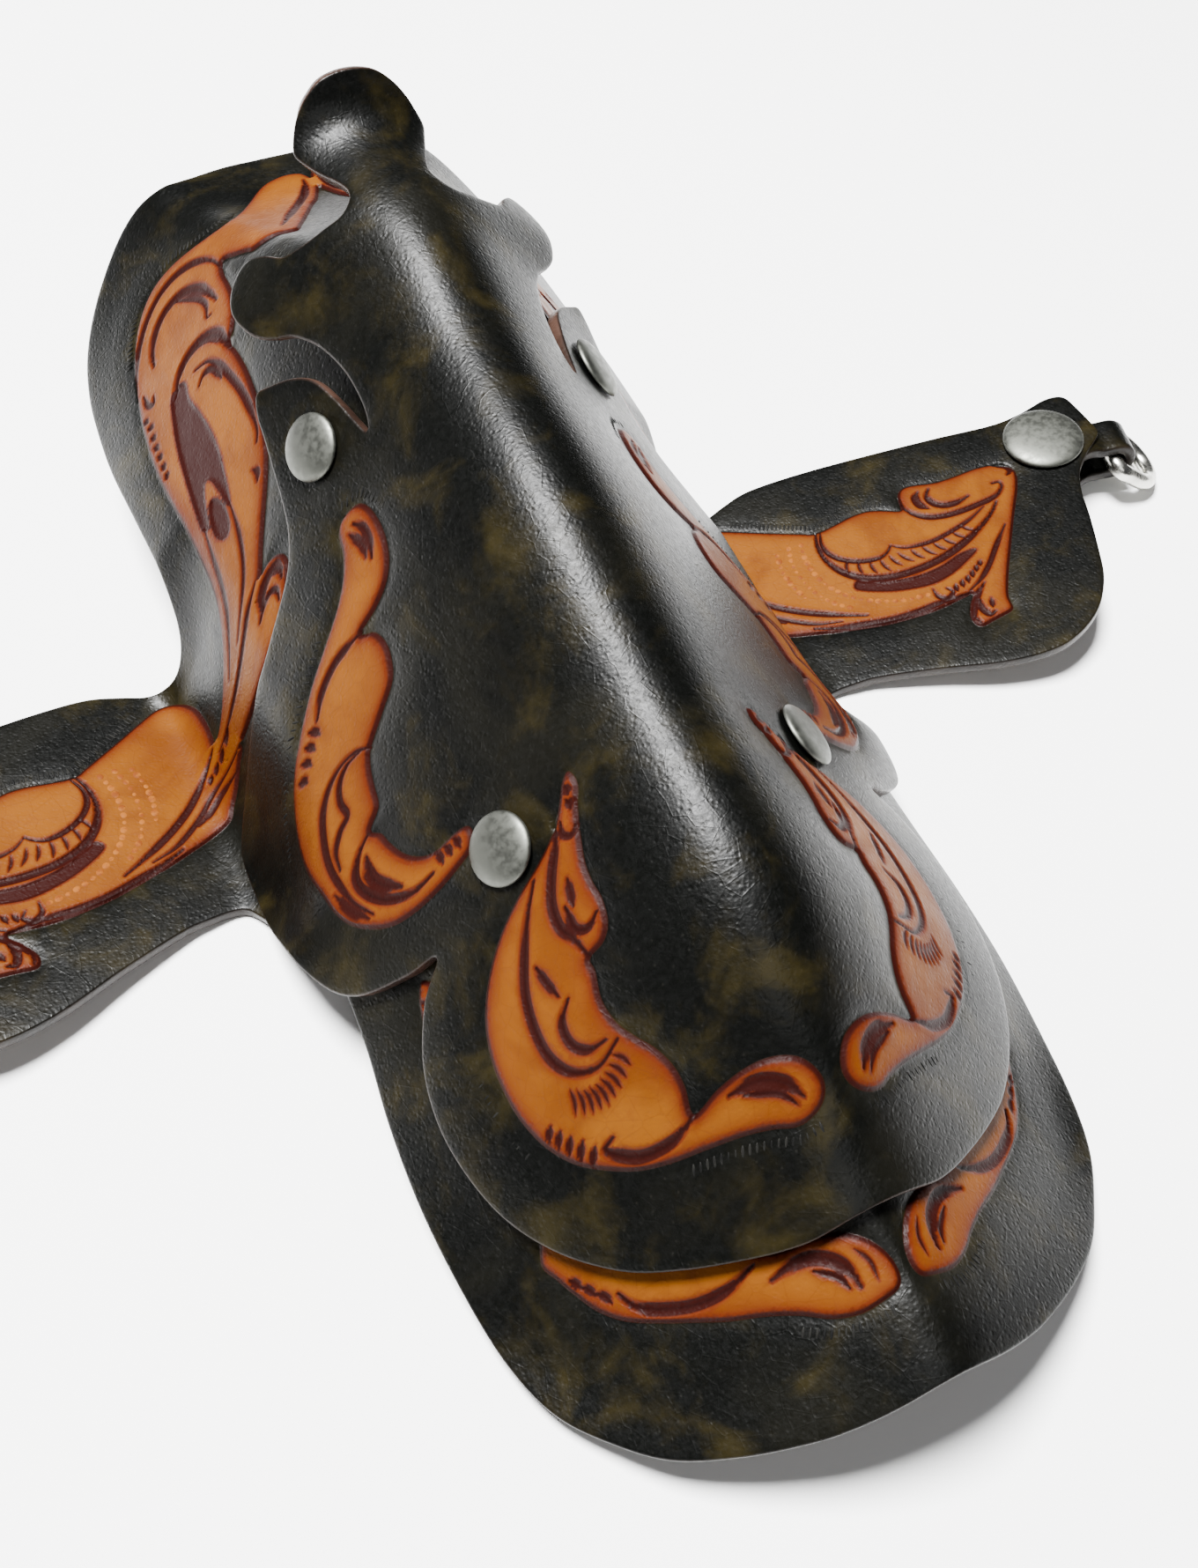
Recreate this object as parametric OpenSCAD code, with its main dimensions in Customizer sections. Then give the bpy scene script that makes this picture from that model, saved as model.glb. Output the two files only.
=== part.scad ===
// Miniature western saddle in tooled leather, lying on a flat surface.
// +X is its right-hand side, +Y the horn end, +Z up, Z = 0 the surface it lies on.

/* [Leather] */
// Thickness of the cut leather
leather_t = 2.2; // [1.8:0.1:2.4]
// Free space between the seat leather and the base leather
layer_gap = 0.4; // [0.15:0.05:0.4]

/* [Wings] */
// Upward slope of each wing from its root, in degrees
wing_rise = 8.5; // [6:0.5:10]
// Distance of the wing fold from the centre line
fold_x = 53; // [52.5:0.1:53.5]

/* [Fasteners] */
// Diameter of the four rivet caps
rivet_cap_d = 10; // [8:0.5:11]
// Diameter of the press-snap caps on the wings
snap_cap_d = 15; // [12:0.5:16]
// Diameter of the rivet and snap barrels
barrel_d = 3.2; // [2.6:0.1:3.6]

/* [Dee rings] */
// Diameter of the ring wire
wire_d = 3.2; // [2.6:0.1:3.2]
// Distance between the two legs of the dee, centre to centre
dee_w = 11.4; // [11:0.1:12.6]
// Length of the straight legs of the dee
dee_leg = 5.8; // [4:0.2:6]
// Droop of the dee below level, in degrees
dee_droop = 32; // [30:1:36]

/* [Hidden] */
$fn = 48;

black_leather = [0.10, 0.10, 0.08];
nickel = [0.62, 0.63, 0.60];
steel = [0.70, 0.70, 0.68];

// ---- The arch that the leather is formed to -----------------------------
// Stations along the saddle: y, ridge height, flank slope, half width of the flat top.
// The rear half is shared by both leathers.
rear_arch = [[-113, 24.2, 0.60, 0], [-88, 33, 0.80, 0], [-60, 51, 1.08, 0],
             [-30, 58, 1.16, 0], [0, 66.7, 1.40, 0], [26, 71.5, 1.42, 0]];
seat_arch = concat(rear_arch, [[42, 76.5, 1.32, 0], [54, 78.5, 1.05, 2], [66, 78.5, 1.00, 3]]);
base_arch = concat(rear_arch, [[46, 70.5, 1.45, 3], [66, 64, 1.40, 8], [86, 56, 1.32, 13],
                               [100, 51.5, 1.28, 17], [113, 50.5, 1.25, 20]]);
ridge_radius = 6;       // bend radius of the leather over the ridge
foot_z = 1.4;           // level that the flanks run out to
foot_bend = 5;          // softness of that run-out

// A smooth curve through the stations of table, column k, at y.
function station(table, y, i = 0) =
    (i >= len(table) - 2 || y < table[i + 1][0]) ? i : station(table, y, i + 1);
function tangent(table, k, i) =
    let (a = max(i - 1, 0), b = min(i + 1, len(table) - 1))
    (table[b][k] - table[a][k]) / (table[b][0] - table[a][0]);
function curve_at(table, k, y) =
    let (i = station(table, y), a = table[i], b = table[i + 1], h = b[0] - a[0],
         s = (y - a[0]) / h, s2 = s * s, s3 = s2 * s)
    (2 * s3 - 3 * s2 + 1) * a[k] + (s3 - 2 * s2 + s) * h * tangent(table, k, i)
    + (3 * s2 - 2 * s3) * b[k] + (s3 - s2) * h * tangent(table, k, i + 1);

// The higher of two levels, with a soft bend where they meet.
function soft_max(a, b, k) = (a + b + sqrt((a - b) * (a - b) + k * k)) / 2;

// Height of the base leather's upper face, which the seat leather lies on.
// At the wing roots it is drawn down further, to meet the wings.
root_top = leather_t + 0.1;
root_in = 36;
root_out = 51.5;
function ramp(a, b, v) = let (s = min(max((v - a) / (b - a), 0), 1)) s * s * (3 - 2 * s);
function root_share(x, y) = ramp(root_in, root_out, abs(x)) * ramp(-22, -6, y) * (1 - ramp(38, 54, y));
function arch_z(table, x, y) =
    let (m = curve_at(table, 2, y), r = ridge_radius * m * m,
         out = max(abs(x) - curve_at(table, 3, y), 0),
         z = soft_max(curve_at(table, 1, y) - leather_t + r - sqrt(r * r + m * m * out * out),
                      foot_z, foot_bend))
    z + root_share(x, y) * (root_top - z);
function arch_normal(table, x, y) =
    let (e = 0.05,
         n = [arch_z(table, x - e, y) - arch_z(table, x + e, y),
              arch_z(table, x, y - e) - arch_z(table, x, y + e), 2 * e])
    n / norm(n);
// A point at distance lift from that face, along its normal.
function lifted(table, x, y, lift) = [x, y, arch_z(table, x, y)] + lift * arch_normal(table, x, y);

// A leather sheet from rows of surface points: upper face, lower face and edges.
module sheet(upper, lower) {
    rows = len(upper);
    cols = len(upper[0]);
    count = rows * cols;
    points = concat([for (row = upper) each row], [for (row = lower) each row]);
    function at(i, j, side) = side * count + i * cols + j;
    faces = concat(
        [for (i = [0 : rows - 2], j = [0 : cols - 2]) each [
            [at(i, j, 0), at(i + 1, j, 0), at(i + 1, j + 1, 0)],
            [at(i, j, 0), at(i + 1, j + 1, 0), at(i, j + 1, 0)],
            [at(i, j, 1), at(i + 1, j + 1, 1), at(i + 1, j, 1)],
            [at(i, j, 1), at(i, j + 1, 1), at(i + 1, j + 1, 1)]]],
        [for (i = [0 : rows - 2], side = [0, 1]) let (j = side * (cols - 1),
            a = at(i, j, 0), b = at(i + 1, j, 0), c = at(i + 1, j, 1), d = at(i, j, 1)) each
            (side == 0 ? [[a, d, c], [a, c, b]] : [[a, c, d], [a, b, c]])],
        [for (j = [0 : cols - 2], side = [0, 1]) let (i = side * (rows - 1),
            a = at(i, j, 0), b = at(i, j + 1, 0), c = at(i, j + 1, 1), d = at(i, j, 1)) each
            (side == 0 ? [[a, c, d], [a, b, c]] : [[a, d, c], [a, c, b]])]);
    polyhedron(points, faces, convexity = 8);
}

// ---- Seat leather: horn, swells, seat, side jockeys and rear jockey ------
// Its edge from the rear to the front slit: y and half width.
jockey_edge = [[-92.4, 6], [-91.6, 10], [-89.6, 15], [-86.6, 21], [-82.6, 27], [-76, 33],
               [-68, 37.2], [-58, 39.2], [-48, 38], [-41, 34.4], [-38.6, 31.6],
               [-37.4, 35.5], [-34, 41.5], [-29, 45], [-20, 47.6], [-9.5, 48.8], [0, 48.2],
               [2.6, 46.2], [5.2, 42.4], [7.4, 38.4], [9.5, 33.4], [11.8, 28.6], [14.2, 26.6],
               [17, 26], [20, 25.6], [24, 25], [27.5, 24.4], [29.2, 24]];
swell_edge = [[29.6, 13], [30.4, 13.4], [33, 15], [36, 18], [38.4, 21.6], [40.5, 22.6],
              [43.5, 22.2], [46, 21], [47.6, 19.6]];
// Rows ahead of the middle sweep forward towards their ends, by this much at the swells.
row_sweep = 17;
sweep_from = 0;
sweep_full = 28.4;
sweep_x = 25.5;
seat_columns = 24;
function sweep_share(y) =
    let (s = min(max((y - sweep_from) / (sweep_full - sweep_from), 0), 1)) 1 - (1 - s) * (1 - s);
function swept_y(y, x) = y + row_sweep * sweep_share(y) * pow(min(abs(x) / sweep_x, 1), 2);
function seat_row(y, w, lift) =
    [for (j = [0 : seat_columns]) let (x = w * (2 * j / seat_columns - 1))
        lifted(seat_arch, x, swept_y(y, x), lift)];
function seat_face(lift) =
    [for (e = concat(jockey_edge, swell_edge)) seat_row(e[0], e[1], lift)];

// The horn: a flap that rises from the neck and turns up at its end.
// Along it: y, z of the middle, half width.
horn_line = [[36, 74.6, 5], [44, 76.9, 5.6], [50, 78.3, 6], [56, 78.9, 7], [62, 79, 8.4],
             [66.5, 79.6, 9.7], [69.5, 81.6, 9.9], [70.6, 84.2, 8.6], [70.2, 86.2, 6.4],
             [69.4, 87.4, 3.6]];
horn_columns = 8;
horn_arch = 0.035;      // how much the flap falls off towards its sides
function horn_dir(i) =
    let (a = horn_line[max(i - 1, 0)], b = horn_line[min(i + 1, len(horn_line) - 1)],
         d = [b[0] - a[0], b[1] - a[1]])
    d / norm(d);
function horn_face(lift) =
    [for (i = [0 : len(horn_line) - 1]) let (h = horn_line[i], d = horn_dir(i))
        [for (j = [0 : horn_columns]) let (x = h[2] * (2 * j / horn_columns - 1))
            [x, h[0] - lift * d[1], h[1] - horn_arch * x * x + lift * d[0]]]];

module seat_leather() {
    color(black_leather) {
        sheet(seat_face(layer_gap + leather_t), seat_face(layer_gap));
        sheet(horn_face(0), horn_face(-leather_t));
    }
}

// ---- Base leather: front lobes, flanks and rear skirt --------------------
base_edge = [[-112.3, 6], [-111.4, 13], [-110, 18], [-107.4, 24.5], [-103.6, 31.2],
             [-98.6, 36.2], [-92, 41], [-84, 43.8], [-74, 45.4], [-62, 46.3], [-50, 46],
             [-38, 44.8], [-26, 44.6], [-16, 46.6], [-9, 49.4], [-4.5, 51.4], [4, 51.5],
             [16, 51.5], [28, 51.5], [38, 51.5], [40.4, 50.6], [41.6, 47], [42.6, 45],
             [52, 45], [64, 45.4], [76, 45.7], [86, 45.2], [94, 44.2], [100.6, 42],
             [105.6, 38], [109, 32], [111, 24], [112.2, 12]];
base_columns = 24;
function base_row(y, w, lift) =
    [for (j = [0 : base_columns]) lifted(base_arch, w * (2 * j / base_columns - 1), y, lift)];
function base_face(lift) = [for (e = base_edge) base_row(e[0], e[1], lift)];

module base_leather() {
    color(black_leather) sheet(base_face(0), base_face(-leather_t));
}

// ---- Wings ----------------------------------------------------------------
root_front = 40.6;      // ends of the fold
root_back = -4.2;
// Outline of a wing in its own plane, from the fold outward: x from the fold, y.
wing_front = [[0, root_front], [4, 42.8], [10, 44], [20, 43], [33, 40.6], [47, 37.6], [58, 35],
              [64, 34.8], [70, 35.6], [74, 33.6]];
wing_outer = [[74, 24], [68, 19.5], [64.5, 16.5], [62, 12], [60.2, 7], [57, 0], [53.6, -6.4],
              [48.5, -11.6], [42, -14.6], [36, -15], [28, -12.8], [18, -8.2], [8, -4.8], [0, root_back]];
root_r = leather_t / 2;
fold_z = root_r + 0.05;
tab_yaw = -16;          // the keeper points a little to the rear
snap_x = 63.5;          // snap centre, from the fold
snap_y = 26.4;
tab_reach = 13.6;       // from the snap to the dee's bar
eye_r = wire_d / 2 + 0.35;
tab_drop = 2.6;         // fall of the keeper from the wing to the eye
tab_w_eye = 7.6;
tab_w_snap = 13;

module at_wing_root() {
    translate([fold_x, 0, fold_z]) rotate([0, -wing_rise, 0]) children();
}
module at_snap() {
    at_wing_root() translate([snap_x, snap_y, 0]) rotate([0, 0, tab_yaw]) children();
}
// Middle line of the keeper from the wing over the eye and back under the snap.
eye_c = [tab_reach, -tab_drop - root_r - eye_r + root_r];
eye_m = eye_r + root_r;
keeper_line = concat(
    [[3, 0], [6, -0.2], [8.6, -0.8], [10.8, -1.5]],
    [for (a = [100 : -20 : -90]) eye_c + eye_m * [cos(a), sin(a)]],
    [[tab_reach - 3, eye_c[1] - eye_m], [4, eye_c[1] - eye_m], [-8, eye_c[1] - eye_m]]);
function line_normal(line, i) =
    let (a = line[max(i - 1, 0)], b = line[min(i + 1, len(line) - 1)], d = b - a)
    [-d[1], d[0]] / norm(d);
function strip_outline(line, t) = concat(
    [for (i = [0 : len(line) - 1]) line[i] + t / 2 * line_normal(line, i)],
    [for (i = [len(line) - 1 : -1 : 0]) line[i] - t / 2 * line_normal(line, i)]);
under_z = eye_c[1] - eye_m;     // middle of the keeper's under layer

module keeper() {
    intersection() {
        rotate([90, 0, 0])
            linear_extrude(height = 2 * tab_w_snap, center = true)
                polygon(strip_outline(keeper_line, leather_t));
        translate([0, 0, -tab_reach])
            linear_extrude(height = 2 * tab_reach)
                polygon([[-9, -tab_w_snap / 2], [3, -tab_w_snap / 2], [10, -tab_w_eye / 2],
                         [20, -tab_w_eye / 2], [20, tab_w_eye / 2], [10, tab_w_eye / 2],
                         [3, tab_w_snap / 2], [-9, tab_w_snap / 2]]);
    }
}
module wing() {
    color(black_leather) {
        difference() {
            union() {
                at_wing_root() {
                    translate([0, 0, -root_r])
                        linear_extrude(height = leather_t) {
                            polygon(concat(wing_front, wing_outer));
                        }
                    translate([0, root_back, 0]) rotate([-90, 0, 0])
                        cylinder(h = root_front - root_back, r = root_r);
                }
                at_snap() keeper();
            }
            at_snap() cylinder(h = 8 * leather_t, d = barrel_d, center = true);
        }
    }
}
module left_wing() { mirror([1, 0, 0]) wing(); }
module right_wing() { wing(); }

// ---- Rivets through seat and base leather ----------------------------------
front_rivet = [20.2, 31.6];
rear_rivet = [20.4, -34.6];
grip = 2 * leather_t + layer_gap;       // leather held between cap and post
cap_seat = 0.05;                        // cap rim stands clear of the leather by this
flange_d = 7.5;
flange_t = 0.7;

// Places children on the seat leather's outer face, +Z out of it.
module on_seat(x, y) {
    n = arch_normal(seat_arch, x, y);
    translate(lifted(seat_arch, x, y, layer_gap + leather_t))
        rotate([0, acos(n[2]), atan2(n[1], n[0])]) children();
}
// A domed cap with a rolled rim, on a hollow barrel.
module domed_cap(d, rise, barrel_len) {
    ball = (d * d / 4 + rise * rise) / (2 * rise);
    rim = 0.5;
    translate([0, 0, cap_seat + rim])
        intersection() {
            translate([0, 0, rise - ball]) sphere(r = ball, $fn = 96);
            cylinder(h = rise + 1, d = d);
        }
    translate([0, 0, cap_seat]) cylinder(h = rim, d = d);
    translate([0, 0, -barrel_len]) difference() {
        cylinder(h = barrel_len + cap_seat, d = barrel_d);
        translate([0, 0, -1]) cylinder(h = barrel_len, d = barrel_d - 1.4);
    }
}
// A flat-headed post that enters the barrel from below.
module flanged_post(depth, length) {
    translate([0, 0, -depth - flange_t - 0.05]) cylinder(h = flange_t, d = flange_d);
    translate([0, 0, -depth - 0.1]) cylinder(h = length, d = barrel_d - 1.4);
}
module rivet_cap(p) {
    color(nickel) on_seat(p[0], p[1]) domed_cap(rivet_cap_d, 1.3, 3.6);
}
module rivet_post(p, depth) {
    color(nickel) on_seat(p[0], p[1]) flanged_post(depth, 3);
}
front_depth = grip + 1.2;       // the leathers stand a little apart under the swell
module front_right_rivet_cap() { rivet_cap(front_rivet); }
module front_left_rivet_cap() { mirror([1, 0, 0]) rivet_cap(front_rivet); }
module rear_right_rivet_cap() { rivet_cap(rear_rivet); }
module rear_left_rivet_cap() { mirror([1, 0, 0]) rivet_cap(rear_rivet); }
module front_right_rivet_post() { rivet_post(front_rivet, front_depth); }
module front_left_rivet_post() { mirror([1, 0, 0]) rivet_post(front_rivet, front_depth); }
module rear_right_rivet_post() { rivet_post(rear_rivet, grip); }
module rear_left_rivet_post() { mirror([1, 0, 0]) rivet_post(rear_rivet, grip); }

// ---- Press snaps that close the keepers -------------------------------------
module snap_cap() {
    color(nickel) at_snap() translate([0, 0, root_r]) domed_cap(snap_cap_d, 1.6, leather_t + 0.2);
}
// Socket: a ring under the wing that the stud snaps into.
socket_h = 2;
module snap_socket() {
    color(nickel) at_snap() translate([0, 0, -root_r - 0.05 - socket_h])
        difference() {
            cylinder(h = socket_h, d = 10);
            translate([0, 0, -1]) cylinder(h = socket_h - 0.2, d = 5.4);
            cylinder(h = socket_h + 1, d = barrel_d);
        }
}
// Stud: a flange on the keeper's under layer with a round knob.
module snap_stud() {
    top = under_z + root_r + 0.05;
    color(nickel) at_snap() {
        translate([0, 0, top]) cylinder(h = 0.6, d = 9);
        translate([0, 0, top + 0.6]) cylinder(h = 1.3, d = 4.8);
    }
}
module snap_post() {
    color(nickel) at_snap() {
        translate([0, 0, under_z - root_r - 0.75]) cylinder(h = 0.7, d = 9);
        translate([0, 0, under_z - root_r - 0.1]) cylinder(h = leather_t + 0.14, d = barrel_d - 0.1);
    }
}
module right_snap_cap() { snap_cap(); }
module left_snap_cap() { mirror([1, 0, 0]) snap_cap(); }
module right_snap_socket() { snap_socket(); }
module left_snap_socket() { mirror([1, 0, 0]) snap_socket(); }
module right_snap_stud() { snap_stud(); }
module left_snap_stud() { mirror([1, 0, 0]) snap_stud(); }
module right_snap_post() { snap_post(); }
module left_snap_post() { mirror([1, 0, 0]) snap_post(); }

// ---- Dee rings ---------------------------------------------------------------
dee_bend = 2.2;         // bend of the wire at each end of the bar
module dee_ring() {
    r = wire_d / 2;
    color(steel) at_snap() translate([eye_c[0], 0, eye_c[1]])
        rotate([0, wing_rise + dee_droop, 0]) {
            rotate([90, 0, 0]) cylinder(h = dee_w - 2 * dee_bend, d = wire_d, center = true);
            for (side = [-1, 1]) {
                translate([dee_bend, side * (dee_w / 2 - dee_bend), 0]) intersection() {
                    rotate_extrude() translate([dee_bend, 0]) circle(r = r);
                    translate([-dee_w, side > 0 ? 0 : -dee_w, -dee_w]) cube([dee_w, dee_w, 2 * dee_w]);
                }
                translate([dee_bend, side * dee_w / 2, 0]) rotate([0, 90, 0])
                    cylinder(h = dee_leg - dee_bend, d = wire_d);
            }
            translate([dee_leg, 0, 0]) intersection() {
                rotate_extrude() translate([dee_w / 2, 0]) circle(r = r);
                translate([0, -dee_w, -dee_w]) cube(2 * dee_w);
            }
        }
}
module right_dee_ring() { dee_ring(); }
module left_dee_ring() { mirror([1, 0, 0]) dee_ring(); }

seat_leather();
base_leather();
left_wing();
right_wing();
front_left_rivet_cap();
front_right_rivet_cap();
rear_left_rivet_cap();
rear_right_rivet_cap();
front_left_rivet_post();
front_right_rivet_post();
rear_left_rivet_post();
rear_right_rivet_post();
left_snap_cap();
right_snap_cap();
left_snap_socket();
right_snap_socket();
left_snap_stud();
right_snap_stud();
left_snap_post();
right_snap_post();
left_dee_ring();
right_dee_ring();
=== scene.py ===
import math
import bpy
import numpy as np
from mathutils import Matrix, Vector
from mathutils.geometry import delaunay_2d_cdt


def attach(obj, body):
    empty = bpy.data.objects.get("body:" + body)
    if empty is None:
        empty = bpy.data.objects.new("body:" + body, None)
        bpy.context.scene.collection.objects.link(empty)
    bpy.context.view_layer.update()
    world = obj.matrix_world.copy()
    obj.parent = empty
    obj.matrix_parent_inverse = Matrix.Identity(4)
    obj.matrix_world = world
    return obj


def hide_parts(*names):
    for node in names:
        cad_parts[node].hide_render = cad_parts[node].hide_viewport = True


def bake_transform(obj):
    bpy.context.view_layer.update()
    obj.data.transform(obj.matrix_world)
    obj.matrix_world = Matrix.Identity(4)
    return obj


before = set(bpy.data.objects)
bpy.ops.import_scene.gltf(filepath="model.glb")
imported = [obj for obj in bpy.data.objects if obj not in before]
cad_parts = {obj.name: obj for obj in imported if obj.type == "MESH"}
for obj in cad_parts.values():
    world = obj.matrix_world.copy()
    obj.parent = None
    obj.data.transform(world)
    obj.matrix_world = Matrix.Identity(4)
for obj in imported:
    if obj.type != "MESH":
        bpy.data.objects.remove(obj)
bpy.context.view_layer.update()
MM = 0.001
THICK = 2.2          # leather
LAYER = 0.4          # seat leather above base leather
RISE = math.radians(8.5)
FOLD_X = 53.0

# ---------------------------------------------------------------- the formed arch
REAR = [[-113, 24.2, 0.60, 0], [-88, 33, 0.80, 0], [-60, 51, 1.08, 0],
        [-30, 58, 1.16, 0], [0, 66.7, 1.40, 0], [26, 71.5, 1.42, 0]]
SEAT = np.array(REAR + [[42, 76.5, 1.32, 0], [54, 78.5, 1.05, 2], [66, 78.5, 1.00, 3]], float)
BASE = np.array(REAR + [[46, 70.5, 1.45, 3], [66, 64, 1.40, 8], [86, 56, 1.32, 13],
                        [100, 51.5, 1.28, 17], [113, 50.5, 1.25, 20]], float)


def along(table, k, y):
    ys, v, n = table[:, 0], table[:, k], len(table)
    i = np.clip(np.searchsorted(ys, y, side="right") - 1, 0, n - 2)
    lo, hi = np.maximum(np.arange(n) - 1, 0), np.minimum(np.arange(n) + 1, n - 1)
    slope = (v[hi] - v[lo]) / (ys[hi] - ys[lo])
    h = ys[i + 1] - ys[i]
    s = (y - ys[i]) / h
    return ((2 * s**3 - 3 * s**2 + 1) * v[i] + (s**3 - 2 * s**2 + s) * h * slope[i]
            + (3 * s**2 - 2 * s**3) * v[i + 1] + (s**3 - s**2) * h * slope[i + 1])


def ramp(a, b, v):
    s = np.clip((v - a) / (b - a), 0, 1)
    return s * s * (3 - 2 * s)


def arch_z(table, x, y):
    m = along(table, 2, y)
    r = 6 * m * m
    out = np.maximum(np.abs(x) - along(table, 3, y), 0)
    a = along(table, 1, y) - THICK + r - np.sqrt(r * r + m * m * out * out)
    z = (a + 1.4 + np.sqrt((a - 1.4) ** 2 + 25)) / 2
    share = ramp(36, 51.5, np.abs(x)) * ramp(-22, -6, y) * (1 - ramp(38, 54, y))
    return z + share * (THICK + 0.1 - z)


def arch_point(table, x, y):
    return np.stack([x, y, arch_z(table, x, y)], 1)


def wing_point(x, y):
    s = np.where(x < 0, -1.0, 1.0)
    r = np.abs(x) - FOLD_X
    return np.stack([s * (FOLD_X + r * math.cos(RISE) - 1.1 * math.sin(RISE)), y,
                     1.15 + r * math.sin(RISE) + 1.1 * math.cos(RISE)], 1)


def base_face(x, y):
    w = ramp(49.5, 55.5, np.abs(x))[:, None]
    xa = np.clip(x, -54, 54)
    return arch_point(BASE, xa, y) * (1 - w) + wing_point(x, y) * w + \
        np.stack([(x - xa) * (1 - w[:, 0]), 0 * x, 0 * x], 1)


HORN = np.array([[36, 74.6], [44, 76.9], [50, 78.3], [56, 78.7], [61, 79.0], [64.6, 80.0],
                 [66.8, 81.6], [68.0, 83.4], [68.6, 85.0], [69.0, 86.2]], float)
HORN_S = 36 + np.concatenate([[0], np.cumsum(np.linalg.norm(np.diff(HORN, axis=0), axis=1))])


def seat_face(x, v):
    lift = LAYER + THICK
    y = np.minimum(v, 65.5)
    p = arch_point(SEAT, x, y)
    n = normals_of(lambda a, b: arch_point(SEAT, a, b), x, y)
    p = p + lift * n
    table = np.column_stack([HORN_S, HORN, HORN[:, :1]])
    v = np.where(v > 50, 50 + (v - 50) * (HORN_S[-1] - 50) / 26.9, v)
    hy, hz = along(table, 1, v), along(table, 2, v) - 0.035 * x * x
    horn = np.stack([x, hy, hz], 1)
    w = (ramp(45, 56, v) * (1 - ramp(8.5, 13, np.abs(x))))[:, None]
    return p * (1 - w) + horn * w


def normals_of(face, x, y, e=0.05):
    du = face(x + e, y) - face(x - e, y)
    dv = face(x, y + e) - face(x, y - e)
    n = np.cross(du, dv)
    return n / np.linalg.norm(n, axis=1, keepdims=True)


# ---------------------------------------------------------------- outlines and cuts
def smooth_line(points, step=0.35, closed=False):
    p = np.array(points, float)
    if len(p) < 3 and not closed:
        q = p
    else:
        ext = np.vstack([p[-1:], p, p[:2]]) if closed else \
            np.vstack([2 * p[0] - p[1], p, 2 * p[-1] - p[-2]])
        out = []
        for i in range(1, len(ext) - 2):
            a, b, c, d = ext[i - 1], ext[i], ext[i + 1], ext[i + 2]
            lim = np.linalg.norm(c - b)
            ta, tb = (c - a) / 2, (d - b) / 2
            for t in (ta, tb):
                m = np.linalg.norm(t)
                if m > 1.2 * lim:
                    t *= 1.2 * lim / m
            s = np.linspace(0, 1, 9)[:-1, None]
            out.append((2 * s**3 - 3 * s**2 + 1) * b + (s**3 - 2 * s**2 + s) * ta
                       + (3 * s**2 - 2 * s**3) * c + (s**3 - s**2) * tb)
        q = np.vstack(out + ([p[:1]] if closed else [p[-1:]]))
    d = np.concatenate([[0], np.cumsum(np.linalg.norm(np.diff(q, axis=0), axis=1))])
    n = max(int(round(d[-1] / step)), 2)
    t = np.linspace(0, d[-1], n + 1)
    r = np.column_stack([np.interp(t, d, q[:, 0]), np.interp(t, d, q[:, 1])])
    return r[:-1] if closed else r


def inside(poly, p):
    x, y = p[:, 0], p[:, 1]
    hit = np.zeros(len(p), bool)
    box = (x > poly[:, 0].min()) & (x < poly[:, 0].max()) & (y > poly[:, 1].min()) & (y < poly[:, 1].max())
    k = np.nonzero(box)[0]
    if not len(k):
        return hit
    a, b = poly, np.roll(poly, -1, 0)
    acc = np.zeros(len(k), bool)
    for (x0, y0), (x1, y1) in zip(a, b):
        if y0 == y1:
            continue
        c = (y[k] > y0) != (y[k] > y1)
        acc ^= c & (x[k] < (x1 - x0) * (y[k] - y0) / (y1 - y0) + x0)
    hit[k] = acc
    return hit


def near_line(line, p, reach):
    """Distance to a line and place along it (0 to 1), for the points within reach."""
    lo, hi = line.min(0) - reach, line.max(0) + reach
    k = np.nonzero(((p > lo) & (p < hi)).all(1))[0]
    best = np.full(len(k), 1e9)
    place = np.zeros(len(k))
    n = len(line) - 1
    for i in range(n):
        a, b = line[i], line[i + 1]
        ab = b - a
        q = p[k] - a
        t = np.clip(q @ ab / max(ab @ ab, 1e-9), 0, 1)
        d = np.linalg.norm(q - t[:, None] * ab, axis=1)
        m = d < best
        best[m] = d[m]
        place[m] = (i + t[m]) / n
    m = best < reach
    return k[m], best[m], place[m]


# Seat leather, right half, from the rear round to the horn.
SEAT_EDGE = [(6, -92.4), (10, -91.6), (15, -89.6), (21, -86.6), (27, -82.6), (33, -76), (37.2, -68),
             (39.2, -58), (38.4, -49), (35.2, -42), (31.8, -38.5), (35.6, -37.2), (41.5, -34), (45, -29),
             (47.6, -20), (48.8, -9.5), (48.4, 1), (46.2, 5.8), (42.4, 11), (38.4, 15.1), (33.6, 19),
             (29, 23), (27, 27), (26.2, 31.2), (25.8, 35.5), (25.4, 40), (25.2, 43.6), (24.4, 45.4),
             (22.6, 44.4), (19.8, 42), (17.4, 38.6), (15.9, 33.6), (14.9, 28.6), (14.15, 25.2), (13.5, 28.4),
             (13.8, 34.5), (15.3, 40.6), (17.6, 45.2), (20.2, 47.8), (22.5, 50.6), (23.8, 54.2),
             (23.3, 56.8), (21.5, 58.7), (19.3, 59), (17.2, 56.9), (15.4, 54.2), (13, 52.9),
             (10.4, 51.9), (8.2, 51.4), (6.8, 52.6), (6.4, 55), (6.9, 58), (8.3, 62.5), (9.6, 67),
             (9.9, 70.2), (8.8, 73), (6.6, 75.2), (3.6, 76.5)]
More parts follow.
